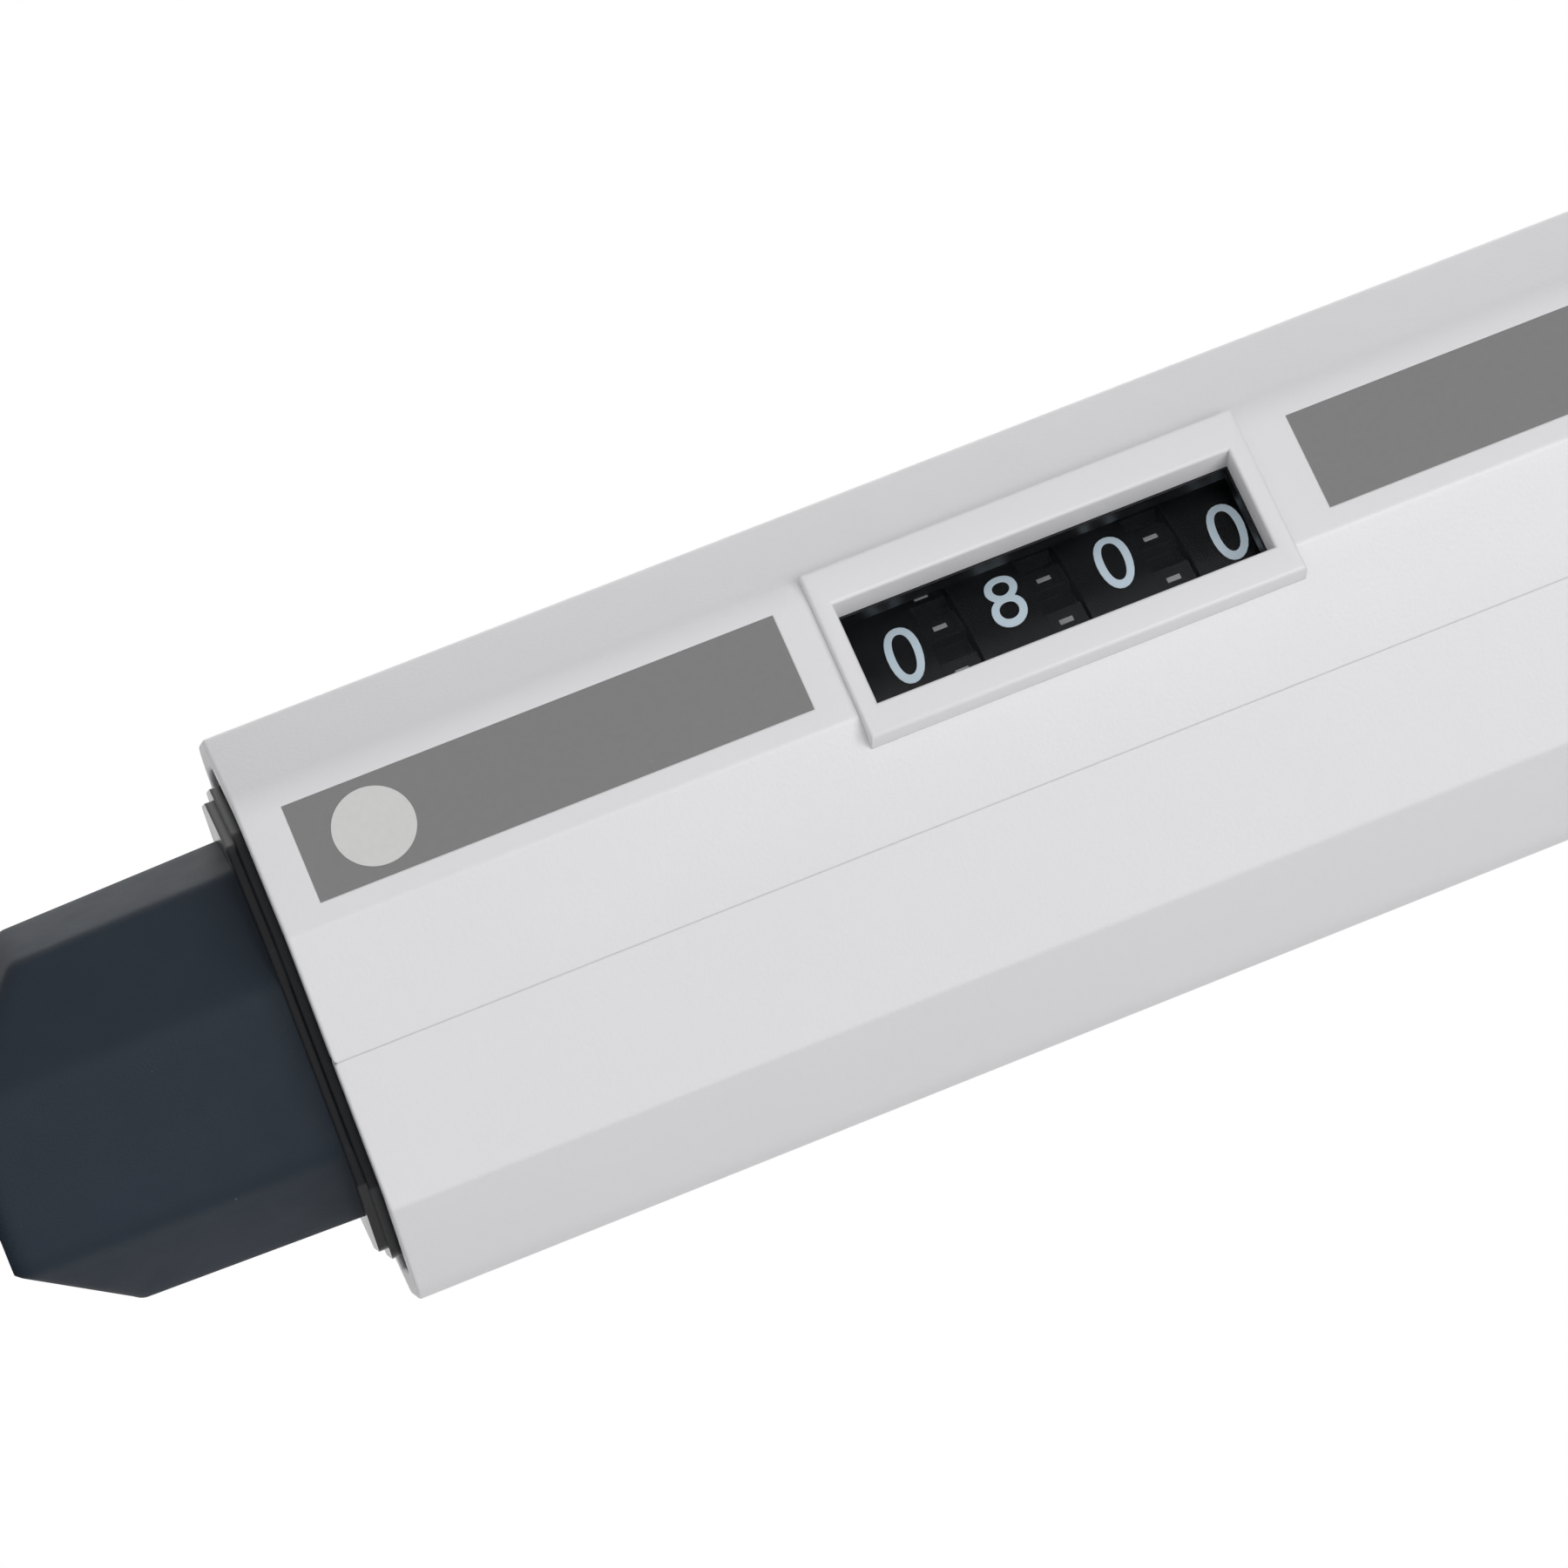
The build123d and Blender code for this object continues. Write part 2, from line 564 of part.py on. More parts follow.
def drive_sleeve():
    """The tube on which the wheels turn, keyed to the spindle by a hexagonal bore."""
    sleeve = rod(SLEEVE_R, FRAME_BOTTOM - 0.5, FRAME_TOP - 0.5)
    key = RegularPolygon(KEY_ACROSS / 2 + KEY_GAP, 6, major_radius=False)
    sleeve -= prism(key, FRAME_BOTTOM - 2, FRAME_TOP + 2)
    sleeve -= rod(THREAD_R + SLIDE_GAP, COUNTER_TOP - 1.5 * WHEEL_PITCH, FRAME_TOP + 2)
    return at(sleeve, z=MOUTH)


def counter_wheel(index, bore_gap):
    """A digit wheel: a smooth band for the figures and a ring of teeth above it."""
    bottom = WHEEL_BOTTOM + index * WHEEL_PITCH + WHEEL_GAP / 2
    top = bottom + WHEEL_PITCH - WHEEL_GAP
    wheel = rod(WHEEL_R, bottom, bottom + WHEEL_BAND) + rod(WHEEL_R - TOOTH_DEPTH, bottom + 1, top)
    width = pi * WHEEL_R / WHEEL_TEETH
    for tooth in range(WHEEL_TEETH):
        bar = block(WHEEL_R - 2 * TOOTH_DEPTH, WHEEL_R - 0.05, -width / 2, width / 2, bottom + 1, top)
        wheel += Rot(0, 0, 360 * tooth / WHEEL_TEETH) * bar
    wheel -= rod(SLEEVE_R + bore_gap, bottom - 1, top + 1)
    return at(wheel, z=MOUTH)


def carry_pinion(index):
    """A pinion that passes a full turn of one wheel on to the next."""
    middle = WHEEL_BOTTOM + (index + 1) * WHEEL_PITCH
    half = PINION_HEIGHT / 2
    pinion = gear(PINION_R, PINION_ROOT_R, PINION_TEETH, middle - half, middle + half)
    pinion -= rod(SHAFT_R + RUN_GAP, middle - PINION_HEIGHT, middle + PINION_HEIGHT)
    return at(pinion, PINION_X, PINION_Y, MOUTH)


def pinion_shaft():
    """The fixed pin that the carry pinions turn on."""
    return rod(SHAFT_R, MOUTH + FRAME_BOTTOM, MOUTH + FRAME_TOP, PINION_X, PINION_Y)


# ================================================================ plunger, volume stop and button
def spindle_rod():
    """The rod that turns with the button: thin below, hexagonal in the counter, threaded at the nut."""
    key_bottom = MOUTH + YOKE_BOTTOM + YOKE_THICK + FULL_TRAVEL + 0.5
    thread_bottom = MOUTH + THREAD_BOTTOM
    spindle = rod(ROD_R, FOOT_BOTTOM, key_bottom + 1)
    spindle += prism(RegularPolygon(KEY_ACROSS / 2, 6, major_radius=False), key_bottom, thread_bottom + 1)
    spindle += rod(THREAD_R, thread_bottom, MOUTH + BUTTON_BOTTOM)
    return spindle


def rod_foot():
    """The disc on the spindle's lower end that carries the piston coupling."""
    return ring(FOOT_R, ROD_R + SEAT_GAP, FOOT_BOTTOM, FOOT_BOTTOM + FOOT_THICK)


def plunger_sleeve():
    """The sleeve around the spindle; its flange is the upper stop of the plunger."""
    sleeve = ring(PLUNGER_R, PLUNGER_BORE_R, UPPER_STOP - SLEEVE_FLANGE, BUTTON_BOTTOM - 0.1)
    sleeve += ring(SLEEVE_FLANGE_R, PLUNGER_BORE_R, UPPER_STOP - SLEEVE_FLANGE, UPPER_STOP - 0.05)
    return at(sleeve, z=MOUTH)


def volume_nut():
    """The nut on the spindle's thread that sets the stroke; two ears stop it from turning."""
    nut = rod(NUT_R, NUT_BOTTOM, NUT_BOTTOM + NUT_HEIGHT)
    ears = block(-NUT_EAR, NUT_EAR, -NUT_EAR_REACH, NUT_EAR_REACH,
                 NUT_BOTTOM + NUT_HEIGHT - NUT_EAR_HEIGHT, NUT_BOTTOM + NUT_HEIGHT)
    nut = nut + ears - rod(THREAD_R + RUN_GAP, NUT_BOTTOM - 1, NUT_BOTTOM + NUT_HEIGHT + 1)
    return at(nut, z=MOUTH)


def stop_plate():
    """The sprung plate that the nut lands on at the first stop."""
    return ring(STOP_PLATE_R, THREAD_R + SLIDE_GAP, MOUTH + STOP_PLATE_TOP - STOP_PLATE_THICK,
                MOUTH + STOP_PLATE_TOP)


def blow_out_spring():
    """The stiff spring under the stop plate."""
    top = MOUTH + STOP_PLATE_TOP - STOP_PLATE_THICK
    return spring(NUT_R - 0.5, BLOW_WIRE_R, MOUTH + FRAME_TOP + SEAT_GAP, top - SEAT_GAP, BLOW_TURNS)


def push_button():
    """The thumb button with a shallow recess in its top."""
    button = rod(BUTTON_R, BUTTON_BOTTOM, BUTTON_BOTTOM + BUTTON_HEIGHT)
    button = chamfer(button.edges().group_by(Axis.Z)[0], 0.6)
    button = fillet(button.edges().group_by(Axis.Z)[-1], 0.5)
    top = BUTTON_BOTTOM + BUTTON_HEIGHT
    button -= rod(BUTTON_CAP_R + SEAT_GAP, top - BUTTON_RECESS, top + 1)
    return at(button, z=MOUTH)


def button_cap():
    """The domed disc in the button's recess."""
    bottom = BUTTON_BOTTOM + BUTTON_HEIGHT - BUTTON_RECESS
    cap = rod(BUTTON_CAP_R, bottom, bottom + BUTTON_CAP)
    return at(fillet(cap.edges().group_by(Axis.Z)[-1], 0.4), z=MOUTH)


# ================================================================ ejector in the handle
def ejector_button():
    """The ejector's thumb pad beside the plunger."""
    pad = block(EJECT_PAD_FROM, EJECT_PAD_TO, -EJECT_PAD_DEPTH / 2, EJECT_PAD_DEPTH / 2,
                PAD_BOTTOM, PAD_BOTTOM + EJECT_PAD_HEIGHT)
    pad = fillet(pad.edges().filter_by(Axis.Z), 2.0)
    pad = fillet(pad.edges().group_by(Axis.Z)[-1], 1.0)
    pad -= rod(EJECT_ROD_R + SEAT_GAP, PAD_BOTTOM - 1, PAD_BOTTOM + 3, EJECT_X)
    return at(pad, z=MOUTH)


def ejector_rod():
    """The thin rod from the thumb pad down to the yoke, with the clip that its spring pushes."""
    stem = rod(EJECT_ROD_R, YOKE_BOTTOM, PAD_BOTTOM + 3, EJECT_X)
    stem += rod(EJECT_CLIP_R, EJECT_CLIP, EJECT_CLIP + 1.5, EJECT_X)
    return at(stem, z=MOUTH)


def ejector_yoke():
    """The arm that carries the rod's push over to the central tube."""
    top = YOKE_BOTTOM + YOKE_THICK
    yoke = rod(YOKE_R, YOKE_BOTTOM, top)
    yoke += block(0, EJECT_X, -2.5, 2.5, YOKE_BOTTOM, top) + rod(2.4, YOKE_BOTTOM, top, EJECT_X - 0.2)
    yoke -= rod(TUBE_R + SEAT_GAP, YOKE_BOTTOM - 1, top + 1)
    yoke -= rod(EJECT_ROD_R + SEAT_GAP, YOKE_BOTTOM - 1, top + 1, EJECT_X)
    return at(yoke, z=MOUTH)


def ejector_tube():
    """The tube around the plunger rod that reaches through the neck into the head."""
    return ring(TUBE_R, TUBE_BORE_R, HUB_TOP + RUN_GAP, MOUTH + YOKE_BOTTOM + YOKE_THICK)


def ejector_spring():
    """The spring that lifts the ejector rod."""
    bottom = MOUTH + STOP_WEB + WEB_THICK + SEAT_GAP
    mean = EJECT_ROD_R + SPRING_GAP + EJECT_WIRE_R
    return spring(mean, EJECT_WIRE_R, bottom, MOUTH + EJECT_CLIP - SEAT_GAP, EJECT_TURNS, EJECT_X)


# ================================================================ head
def head_outline(inset):
    """The head seen from the front: a box with two sloping shoulders, moved inwards by a wall."""
    half = HEAD_LENGTH / 2 - inset
    top = HEAD_TOP - inset
    shoulder = HEAD_TOP - SHOULDER_DROP - inset
    points = [(-half, BASE_BOTTOM), (half, BASE_BOTTOM), (half, shoulder), (SHOULDER_HALF, top),
              (-SHOULDER_HALF, top), (-half, shoulder)]
    return Plane.XZ * Polygon(*points, align=None)


def manifold_half(side):
    """One cover of the head: side -1 is the front and side 1 the back."""
    half = HEAD_DEPTH / 2
    shell = extrude(head_outline(0), half, both=True)
    outer = [e for e in shell.edges() if e.center().Z > BASE_BOTTOM + 1]
    shell = fillet(outer, HEAD_CORNER_R)
    shell -= extrude(head_outline(HEAD_WALL), half - HEAD_WALL, both=True)
    shell -= rod(STEM_R + SLIDE_GAP, CEILING - 1, HEAD_TOP + 1)
    for x in screw_columns():
        drill = Rot(90, 0, 0) * Cylinder(SCREW_R + SEAT_GAP, HEAD_DEPTH + 2)
        sink = Rot(90, 0, 0) * Cylinder(SCREW_HEAD_R + RUN_GAP, 2 * SCREW_SINK)
        shell -= at(drill, x, 0, HEAD_SCREW_LEVEL)
        shell -= at(sink, x, side * half, HEAD_SCREW_LEVEL)
    reach = HEAD_LENGTH
    ys = sorted((0.0, side * reach))
    return shell & block(-reach, reach, *ys, 0, HEAD_TOP + 1)


def screw_columns():
    """Where the cover screws stand along the row: between the second and third channel from each end."""
    return -HALF_ROW + 1.5 * PITCH, HALF_ROW - 1.5 * PITCH


def manifold_screws():
    """Four screws that hold the covers on the cylinder block."""
    screws = []
    for side in (-1, 1):
        for x in screw_columns():
            head = Rot(90, 0, 0) * Cylinder(SCREW_HEAD_R, SCREW_HEAD_HEIGHT)
            length = HEAD_DEPTH / 2 - SCREW_SINK - BLOCK_DEPTH / 2 + 1.8
            shank = Rot(90, 0, 0) * Cylinder(SCREW_R, length)
            y_head = side * (HEAD_DEPTH / 2 - SCREW_SINK + SCREW_HEAD_HEIGHT / 2)
            y_shank = side * (HEAD_DEPTH / 2 - SCREW_SINK - length / 2)
            screws.append(at(head, x, y_head, HEAD_SCREW_LEVEL) + at(shank, x, y_shank, HEAD_SCREW_LEVEL))
    return group(screws)


def base_plate():
    """The plate under the cylinder block that the tip cones are screwed through."""
    half_x = HEAD_LENGTH / 2 - HEAD_WALL - SEAT_GAP
    half_y = HEAD_DEPTH / 2 - HEAD_WALL - SEAT_GAP
    plate = block(-half_x, half_x, -half_y, half_y, BASE_BOTTOM, BASE_TOP)
    for x, _ in channel_places():
        plate -= rod(SHANK_R + SEAT_GAP, BASE_BOTTOM - 1, BASE_TOP + 1, x)
    for side in (-1, 1):
        xs = sorted((side * (ARM_INSIDE - SLIDE_GAP), side * (ARM_OUTSIDE + SLIDE_GAP)))
        half = BAR_DEPTH / 2 + SLIDE_GAP
        plate -= block(*xs, -half, half, BASE_BOTTOM - 1, BASE_TOP + 1)
    return plate


def cylinder_block():
    """The block with the eight air chambers, their seal seats and the pockets of the return springs."""
    body = block(-BLOCK_HALF, BLOCK_HALF, -BLOCK_DEPTH / 2, BLOCK_DEPTH / 2, BASE_TOP, BLOCK_TOP)
    for x, y in channel_places():
        body -= rod(PISTON_R + CHAMBER_GAP, CHAMBER_FLOOR, BLOCK_TOP + 1, x, y)
        body -= rod(SEAL_R + SEAT_GAP, BLOCK_TOP - SEAL_HEIGHT, BLOCK_TOP + 1, x, y)
        body -= rod(SHANK_R + SEAT_GAP, BASE_TOP - 1, BASE_TOP + 3, x)
        body -= rod(AIR_R, BASE_TOP, CHAMBER_FLOOR + 1, x)
    for x, y in post_places():
        body -= rod(POST_R + SPRING_GAP + 2 * RETURN_WIRE_R + RUN_GAP, CHAMBER_FLOOR + 3, BLOCK_TOP + 1, x, y)
        body -= rod(POST_R + SEAT_GAP, BASE_TOP + 1, BLOCK_TOP + 1, x, y)
    for side in (-1, 1):
        for x in screw_columns():
            drill = Rot(90, 0, 0) * Cylinder(SCREW_R + SEAT_GAP, 4)
            body -= at(drill, x, side * BLOCK_DEPTH / 2, HEAD_SCREW_LEVEL)
    return body


def post_places():
    """The two guide posts, each across the row from an end piston."""
    return (-HALF_ROW, -POST_Y), (HALF_ROW, POST_Y)


def guide_posts():
    """Two pins that keep the piston plate level."""
    top = PLATE_TOP + 8
    return group([rod(POST_R, BASE_TOP + 1, top, x, y) for x, y in post_places()])


def return_springs():
    """The two springs that lift the piston plate, one on each guide post."""
    mean = POST_R + SPRING_GAP + RETURN_WIRE_R
    bottom, top = CHAMBER_FLOOR + 3 + SEAT_GAP, PLATE_BOTTOM - SEAT_GAP
    coils = [spring(mean, RETURN_WIRE_R, bottom, top, RETURN_TURNS, x, y) for x, y in post_places()]
    return group(coils)


def tip_cone(x):
    """A tip cone: the sealing land, the groove of its ring, the body and the screwed shank, all bored."""
    cone = rod(LAND_R, 0, LAND_LENGTH) + rod(LAND_R - GROOVE_DEPTH, LAND_LENGTH - 1, LAND_LENGTH + 3)
    cone += rod(CONE_R, LAND_LENGTH + 1.2, BASE_BOTTOM)
    cone += rod(SHANK_R, BASE_BOTTOM - 1, BASE_BOTTOM + SHANK_LENGTH)
    cone -= rod(AIR_R, -1, BASE_BOTTOM + SHANK_LENGTH + 1)
    return at(cone, x)


def cone_rings():
    """The rubber rings in the cones' grooves."""
    centre_r = LAND_R - GROOVE_DEPTH + SEAT_GAP + RING_WIRE_R
    shapes = [at(Torus(centre_r, RING_WIRE_R), x, 0, LAND_LENGTH + 0.6) for x, _ in channel_places()]
    return group(shapes)


def piston_seals():
    """The lip seals at the mouths of the chambers."""
    return group([ring(SEAL_R, PISTON_R + RUN_GAP, BLOCK_TOP - SEAL_HEIGHT, BLOCK_TOP - 0.2, x, y)
                  for x, y in channel_places()])


def pistons():
    """The eight pistons with the thin stems that hold them in the plate."""
    return group([rod(PISTON_R, PISTON_BOTTOM, PLATE_BOTTOM, x, y)
                  + rod(PISTON_STEM_R, PLATE_BOTTOM - 1, PLATE_TOP, x, y) for x, y in channel_places()])


def piston_plate():
    """The plate that drives the pistons, with the cup of the rod coupling."""
    half_x = HALF_ROW + POST_R + 2.0
    plate = block(-half_x, half_x, -PLATE_DEPTH / 2, PLATE_DEPTH / 2, PLATE_BOTTOM, PLATE_TOP)
    plate += rod(CUP_R, PLATE_TOP - 1, CUP_TOP)
    plate -= rod(FOOT_R + SLIDE_GAP, PLATE_TOP + 1.0, CUP_TOP + 1)
    for x, y in channel_places():
        plate -= rod(PISTON_STEM_R + SEAT_GAP, PLATE_BOTTOM - 1, PLATE_TOP + 1, x, y)
    for x, y in post_places():
        plate -= rod(POST_R + SLIDE_GAP, PLATE_BOTTOM - 1, PLATE_TOP + 1, x, y)
    return plate


def coupling_cap():
    """The ring that keeps the rod's foot in the cup."""
    return ring(CUP_R, ROD_R + SLIDE_GAP, CUP_TOP, COUPLING_TOP)


def swivel_collar():
    """The collar on the head that turns around the neck's stem."""
    cone = at(Cone(COLLAR_R, COLLAR_TOP_R, COLLAR_HEIGHT), z=HEAD_TOP + COLLAR_HEIGHT / 2)
    return cone - rod(STEM_R + SLIDE_GAP, HEAD_TOP - 1, COLLAR_TOP + 1)


def ejector_crossbar():
    """The bar in the head that the ejector tube pushes, dropping towards its ends."""
    end = HUB_BOTTOM - BAR_END_DROP
    points = [(-HUB_R, HUB_BOTTOM), (HUB_R, HUB_BOTTOM), (ARM_INSIDE, end), (ARM_OUTSIDE, end),
              (ARM_OUTSIDE, end + BAR_THICK), (HUB_R, HUB_TOP), (-HUB_R, HUB_TOP),
              (-ARM_OUTSIDE, end + BAR_THICK), (-ARM_OUTSIDE, end), (-ARM_INSIDE, end)]
    bar = extrude(Plane.XZ * Polygon(*points, align=None), BAR_DEPTH / 2, both=True)
    bar += rod(HUB_R, HUB_BOTTOM, HUB_TOP)
    return bar - rod(ROD_R + SLIDE_GAP, HUB_BOTTOM - 1, HUB_TOP + 1)


def ejector_arms():
    """The two flat arms from the crossbar's ends down to the comb."""
    top = HUB_BOTTOM - BAR_END_DROP
    shapes = []
    for side in (-1, 1):
        xs = sorted((side * ARM_INSIDE, side * ARM_OUTSIDE))
        shapes.append(block(*xs, -BAR_DEPTH / 2, BAR_DEPTH / 2, COMB_BOTTOM + COMB_THICK, top))
    return group(shapes)


def ejector_comb():
    """The plate around the cones that pushes the tips off."""
    comb = block(-ARM_OUTSIDE, ARM_OUTSIDE, -COMB_DEPTH / 2, COMB_DEPTH / 2,
                 COMB_BOTTOM, COMB_BOTTOM + COMB_THICK)
    comb = fillet(comb.edges().filter_by(Axis.Z), 3.0)
    for x, _ in channel_places():
        comb -= rod(CONE_R + SLIDE_GAP, COMB_BOTTOM - 1, COMB_BOTTOM + COMB_THICK + 1, x)
    return comb


# ================================================================ the whole pipette
def make_parts():
    """Every sub-part by its node's name."""
    parts = {
        "casing_left": casing_half(-1),
        "casing_right": casing_half(1),
        "casing_screws": casing_screws(),
        "display_lens": display_lens(),
        "label_plate_lower": label_plate(LABEL_LOWER),
        "label_plate_upper": label_plate(LABEL_UPPER),
        "mouth_plug": mouth_plug(),
        "neck_housing": neck_housing(),
        "stem_ring": stem_ring(),
        "top_bush": top_bush(),
        "top_cap": top_cap(),
        "finger_rest": finger_rest(),
        "counter_frame": counter_frame(),
        "pinion_shaft": pinion_shaft(),
        "blow_out_spring": blow_out_spring(),
        "ejector_spring": ejector_spring(),
        "stop_plate": stop_plate(),
        "plunger_sleeve": plunger_sleeve(),
        "push_button": push_button(),
        "button_cap": button_cap(),
        "spindle_rod": spindle_rod(),
        "rod_foot": rod_foot(),
        "volume_nut": volume_nut(),
        "drive_sleeve": drive_sleeve(),
        "ejector_button": ejector_button(),
        "ejector_rod": ejector_rod(),
        "ejector_yoke": ejector_yoke(),
        "ejector_tube": ejector_tube(),
        "manifold_front": manifold_half(-1),
        "manifold_rear": manifold_half(1),
        "manifold_screws": manifold_screws(),
        "base_plate": base_plate(),
        "cylinder_block": cylinder_block(),
        "guide_posts": guide_posts(),
        "return_springs": return_springs(),
        "cone_rings": cone_rings(),
        "piston_seals": piston_seals(),
        "swivel_collar": swivel_collar(),
        "pistons": pistons(),
        "piston_plate": piston_plate(),
        "coupling_cap": coupling_cap(),
        "ejector_crossbar": ejector_crossbar(),
        "ejector_arms": ejector_arms(),
        "ejector_comb": ejector_comb(),
    }
    for index, (x, _) in enumerate(channel_places(), start=1):
        parts[f"tip_cone_{index}"] = tip_cone(x)
    for index, name in enumerate(("thousands", "hundreds", "tens", "units")):
        parts[f"wheel_{name}"] = counter_wheel(index, SEAT_GAP if name == "units" else RUN_GAP)
    for index in range(3):
        parts[f"carry_pinion_{index + 1}"] = carry_pinion(index)
    return parts


def write_parts():
    """Write one STEP file for each node."""
    os.makedirs("parts", exist_ok=True)
    for name, shape in make_parts().items():
        export_step(shape, f"parts/{name}.step")


if __name__ == "__main__":
    write_parts()
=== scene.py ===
"""Looks of an eight-channel pipette: finishes, counter figures, screws, grips, studio and camera.

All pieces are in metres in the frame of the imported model: +Z runs up the plunger, the display looks to the
front and left, and the eight tip cones stand in a row along X with their ends at Z = 0.
"""
from __future__ import annotations

import json
import logging
import math
from dataclasses import dataclass, field
from enum import Enum
from typing import Callable, Iterable, Sequence

import bmesh
import bpy
from mathutils import Matrix, Vector

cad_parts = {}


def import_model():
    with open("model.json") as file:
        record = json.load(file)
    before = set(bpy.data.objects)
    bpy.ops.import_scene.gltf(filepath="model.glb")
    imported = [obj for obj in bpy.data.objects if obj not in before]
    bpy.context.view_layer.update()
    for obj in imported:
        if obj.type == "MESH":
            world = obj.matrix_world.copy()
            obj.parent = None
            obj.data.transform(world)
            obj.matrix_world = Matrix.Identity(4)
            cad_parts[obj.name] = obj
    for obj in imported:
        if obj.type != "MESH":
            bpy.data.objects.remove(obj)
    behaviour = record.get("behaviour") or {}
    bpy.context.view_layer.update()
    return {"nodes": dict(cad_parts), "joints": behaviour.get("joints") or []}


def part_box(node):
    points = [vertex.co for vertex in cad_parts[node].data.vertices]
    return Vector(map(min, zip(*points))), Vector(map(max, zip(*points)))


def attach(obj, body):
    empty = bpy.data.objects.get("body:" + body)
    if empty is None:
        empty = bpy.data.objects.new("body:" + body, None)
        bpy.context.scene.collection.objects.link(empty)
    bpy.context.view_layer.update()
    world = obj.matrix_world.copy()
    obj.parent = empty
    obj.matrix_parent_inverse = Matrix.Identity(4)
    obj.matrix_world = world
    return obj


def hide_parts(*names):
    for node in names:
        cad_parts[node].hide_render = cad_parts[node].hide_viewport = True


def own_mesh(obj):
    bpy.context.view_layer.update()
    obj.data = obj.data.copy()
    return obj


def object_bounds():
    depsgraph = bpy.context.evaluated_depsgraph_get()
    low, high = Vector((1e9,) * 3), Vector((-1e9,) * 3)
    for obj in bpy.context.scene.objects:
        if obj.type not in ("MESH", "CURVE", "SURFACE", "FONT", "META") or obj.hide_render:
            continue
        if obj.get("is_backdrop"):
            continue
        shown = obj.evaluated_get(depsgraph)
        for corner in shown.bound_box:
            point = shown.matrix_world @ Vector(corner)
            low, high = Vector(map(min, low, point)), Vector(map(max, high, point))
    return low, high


MM = 0.001
FONT_ZERO_WIDTH = 0.50  # of the built-in font's figure 0 at size one
WELD = 1e-6  # corners nearer than this are one corner
FLAT_ANGLE = math.radians(0.4)  # faces that meet at less are one face
SHARP_ANGLE = math.radians(35)  # edges that turn by more can be rounded
SPECK_CELL = 1.6 * MM
SPECK_RADIUS = 0.045  # as a share of its cell
WHITE = (1.0, 1.0, 1.0, 1.0)
LOG = logging.getLogger("pipette")
Colour = tuple[float, float, float]


# ---------------- node graphs
class Port:
    """A socket that can be used in Python sums; each operation adds a Math node."""

    def __init__(self, graph: Graph, socket: bpy.types.NodeSocket) -> None:
        """Wrap one output socket of a graph."""
        self.graph = graph
        self.socket = socket

    def _math(self, operation: str, *operands: Port | float) -> Port:
        """Add a Math node.

        Args:
            operation: the Math node's operation.
            operands: its inputs, in order.

        Returns:
            The node's result.
        """
        return self.graph.add("ShaderNodeMath", {"operation": operation}, dict(enumerate(operands)))

    def __add__(self, other: Port | float) -> Port:
        """Sum."""
        return self._math("ADD", self, other)

    def __sub__(self, other: Port | float) -> Port:
        """Difference."""
        return self._math("SUBTRACT", self, other)

    def __mul__(self, other: Port | float) -> Port:
        """Product."""
        return self._math("MULTIPLY", self, other)

    def __gt__(self, other: Port | float) -> Port:
        """One where this is greater, else nought."""
        return self._math("GREATER_THAN", self, other)

    def __lt__(self, other: Port | float) -> Port:
        """One where this is less, else nought."""
        return self._math("LESS_THAN", self, other)

    __radd__ = __add__


class Graph:
    """Adds nodes to a shader or geometry tree."""

    def __init__(self, tree: bpy.types.NodeTree) -> None:
        """Keep the tree that nodes go into."""
        self.tree = tree

    def add(self, kind: str, settings: dict[str, object] | None = None,
            inputs: dict[str | int, object] | None = None, out: str | int = 0) -> Port:
        """Add a node.

        Args:
            kind: the node's type name.
            settings: its properties, set before its sockets.
            inputs: values or ports for its sockets, by name or place.
            out: which output is returned.

        Returns:
            The chosen output.
        """
        node = self.tree.nodes.new(kind)
        for key, value in (settings or {}).items():
            setattr(node, key, value)
        for key, value in (inputs or {}).items():
            if isinstance(value, Port):
                self.tree.links.new(value.socket, node.inputs[key])
            else:
                node.inputs[key].default_value = value
        return Port(self, node.outputs[out]) if len(node.outputs) else Port(self, node.inputs[0])

    def mix(self, factor: Port, low: Port | Colour, high: Port | Colour) -> Port:
        """Blend two colours.

        Args:
            factor: nought gives low and one gives high.
            low: the first colour.
            high: the second colour.

        Returns:
            The blended colour.
        """
        settings = {"data_type": "RGBA"}
        inputs = {"Factor": factor, 6: rgba(low), 7: rgba(high)}
        return self.add("ShaderNodeMix", settings, inputs, out=2)

    def noise(self, place: Port, size: float, detail: float = 2.0) -> Port:
        """Fractal noise with features of about a given size in metres."""
        return self.add("ShaderNodeTexNoise", inputs={"Vector": place, "Scale": 1 / size, "Detail": detail})

    def bump(self, height: Port, depth: float, strength: float = 1.0, normal: Port | None = None) -> Port:
        """Bend the surface's normal.

        Args:
            height: the relief, from nought to one.
            depth: what a relief of one stands for, in metres.
            strength: the share of the effect.
            normal: the normal to start from, if it isn't the plain one.

        Returns:
            The bent normal.
        """
        inputs = {"Strength": strength, "Distance": depth, "Height": height}
        if normal is not None:
            inputs["Normal"] = normal
        return self.add("ShaderNodeBump", inputs=inputs)

    def vector(self, *parts: Port | float) -> Port:
        """Join up to three numbers into a vector."""
        return self.add("ShaderNodeCombineXYZ", inputs=dict(enumerate(parts)))


def rgba(colour: Port | Colour) -> object:
    """A port unchanged, or a colour with its alpha."""
    return colour if isinstance(colour, Port) else (*colour, 1.0)


def grey(level: float) -> Colour:
    """A neutral colour."""
    return (level, level, level)


def shade(colour: Colour, factor: float) -> Colour:
    """A colour made lighter or darker."""
    return tuple(min(1.0, channel * factor) for channel in colour)


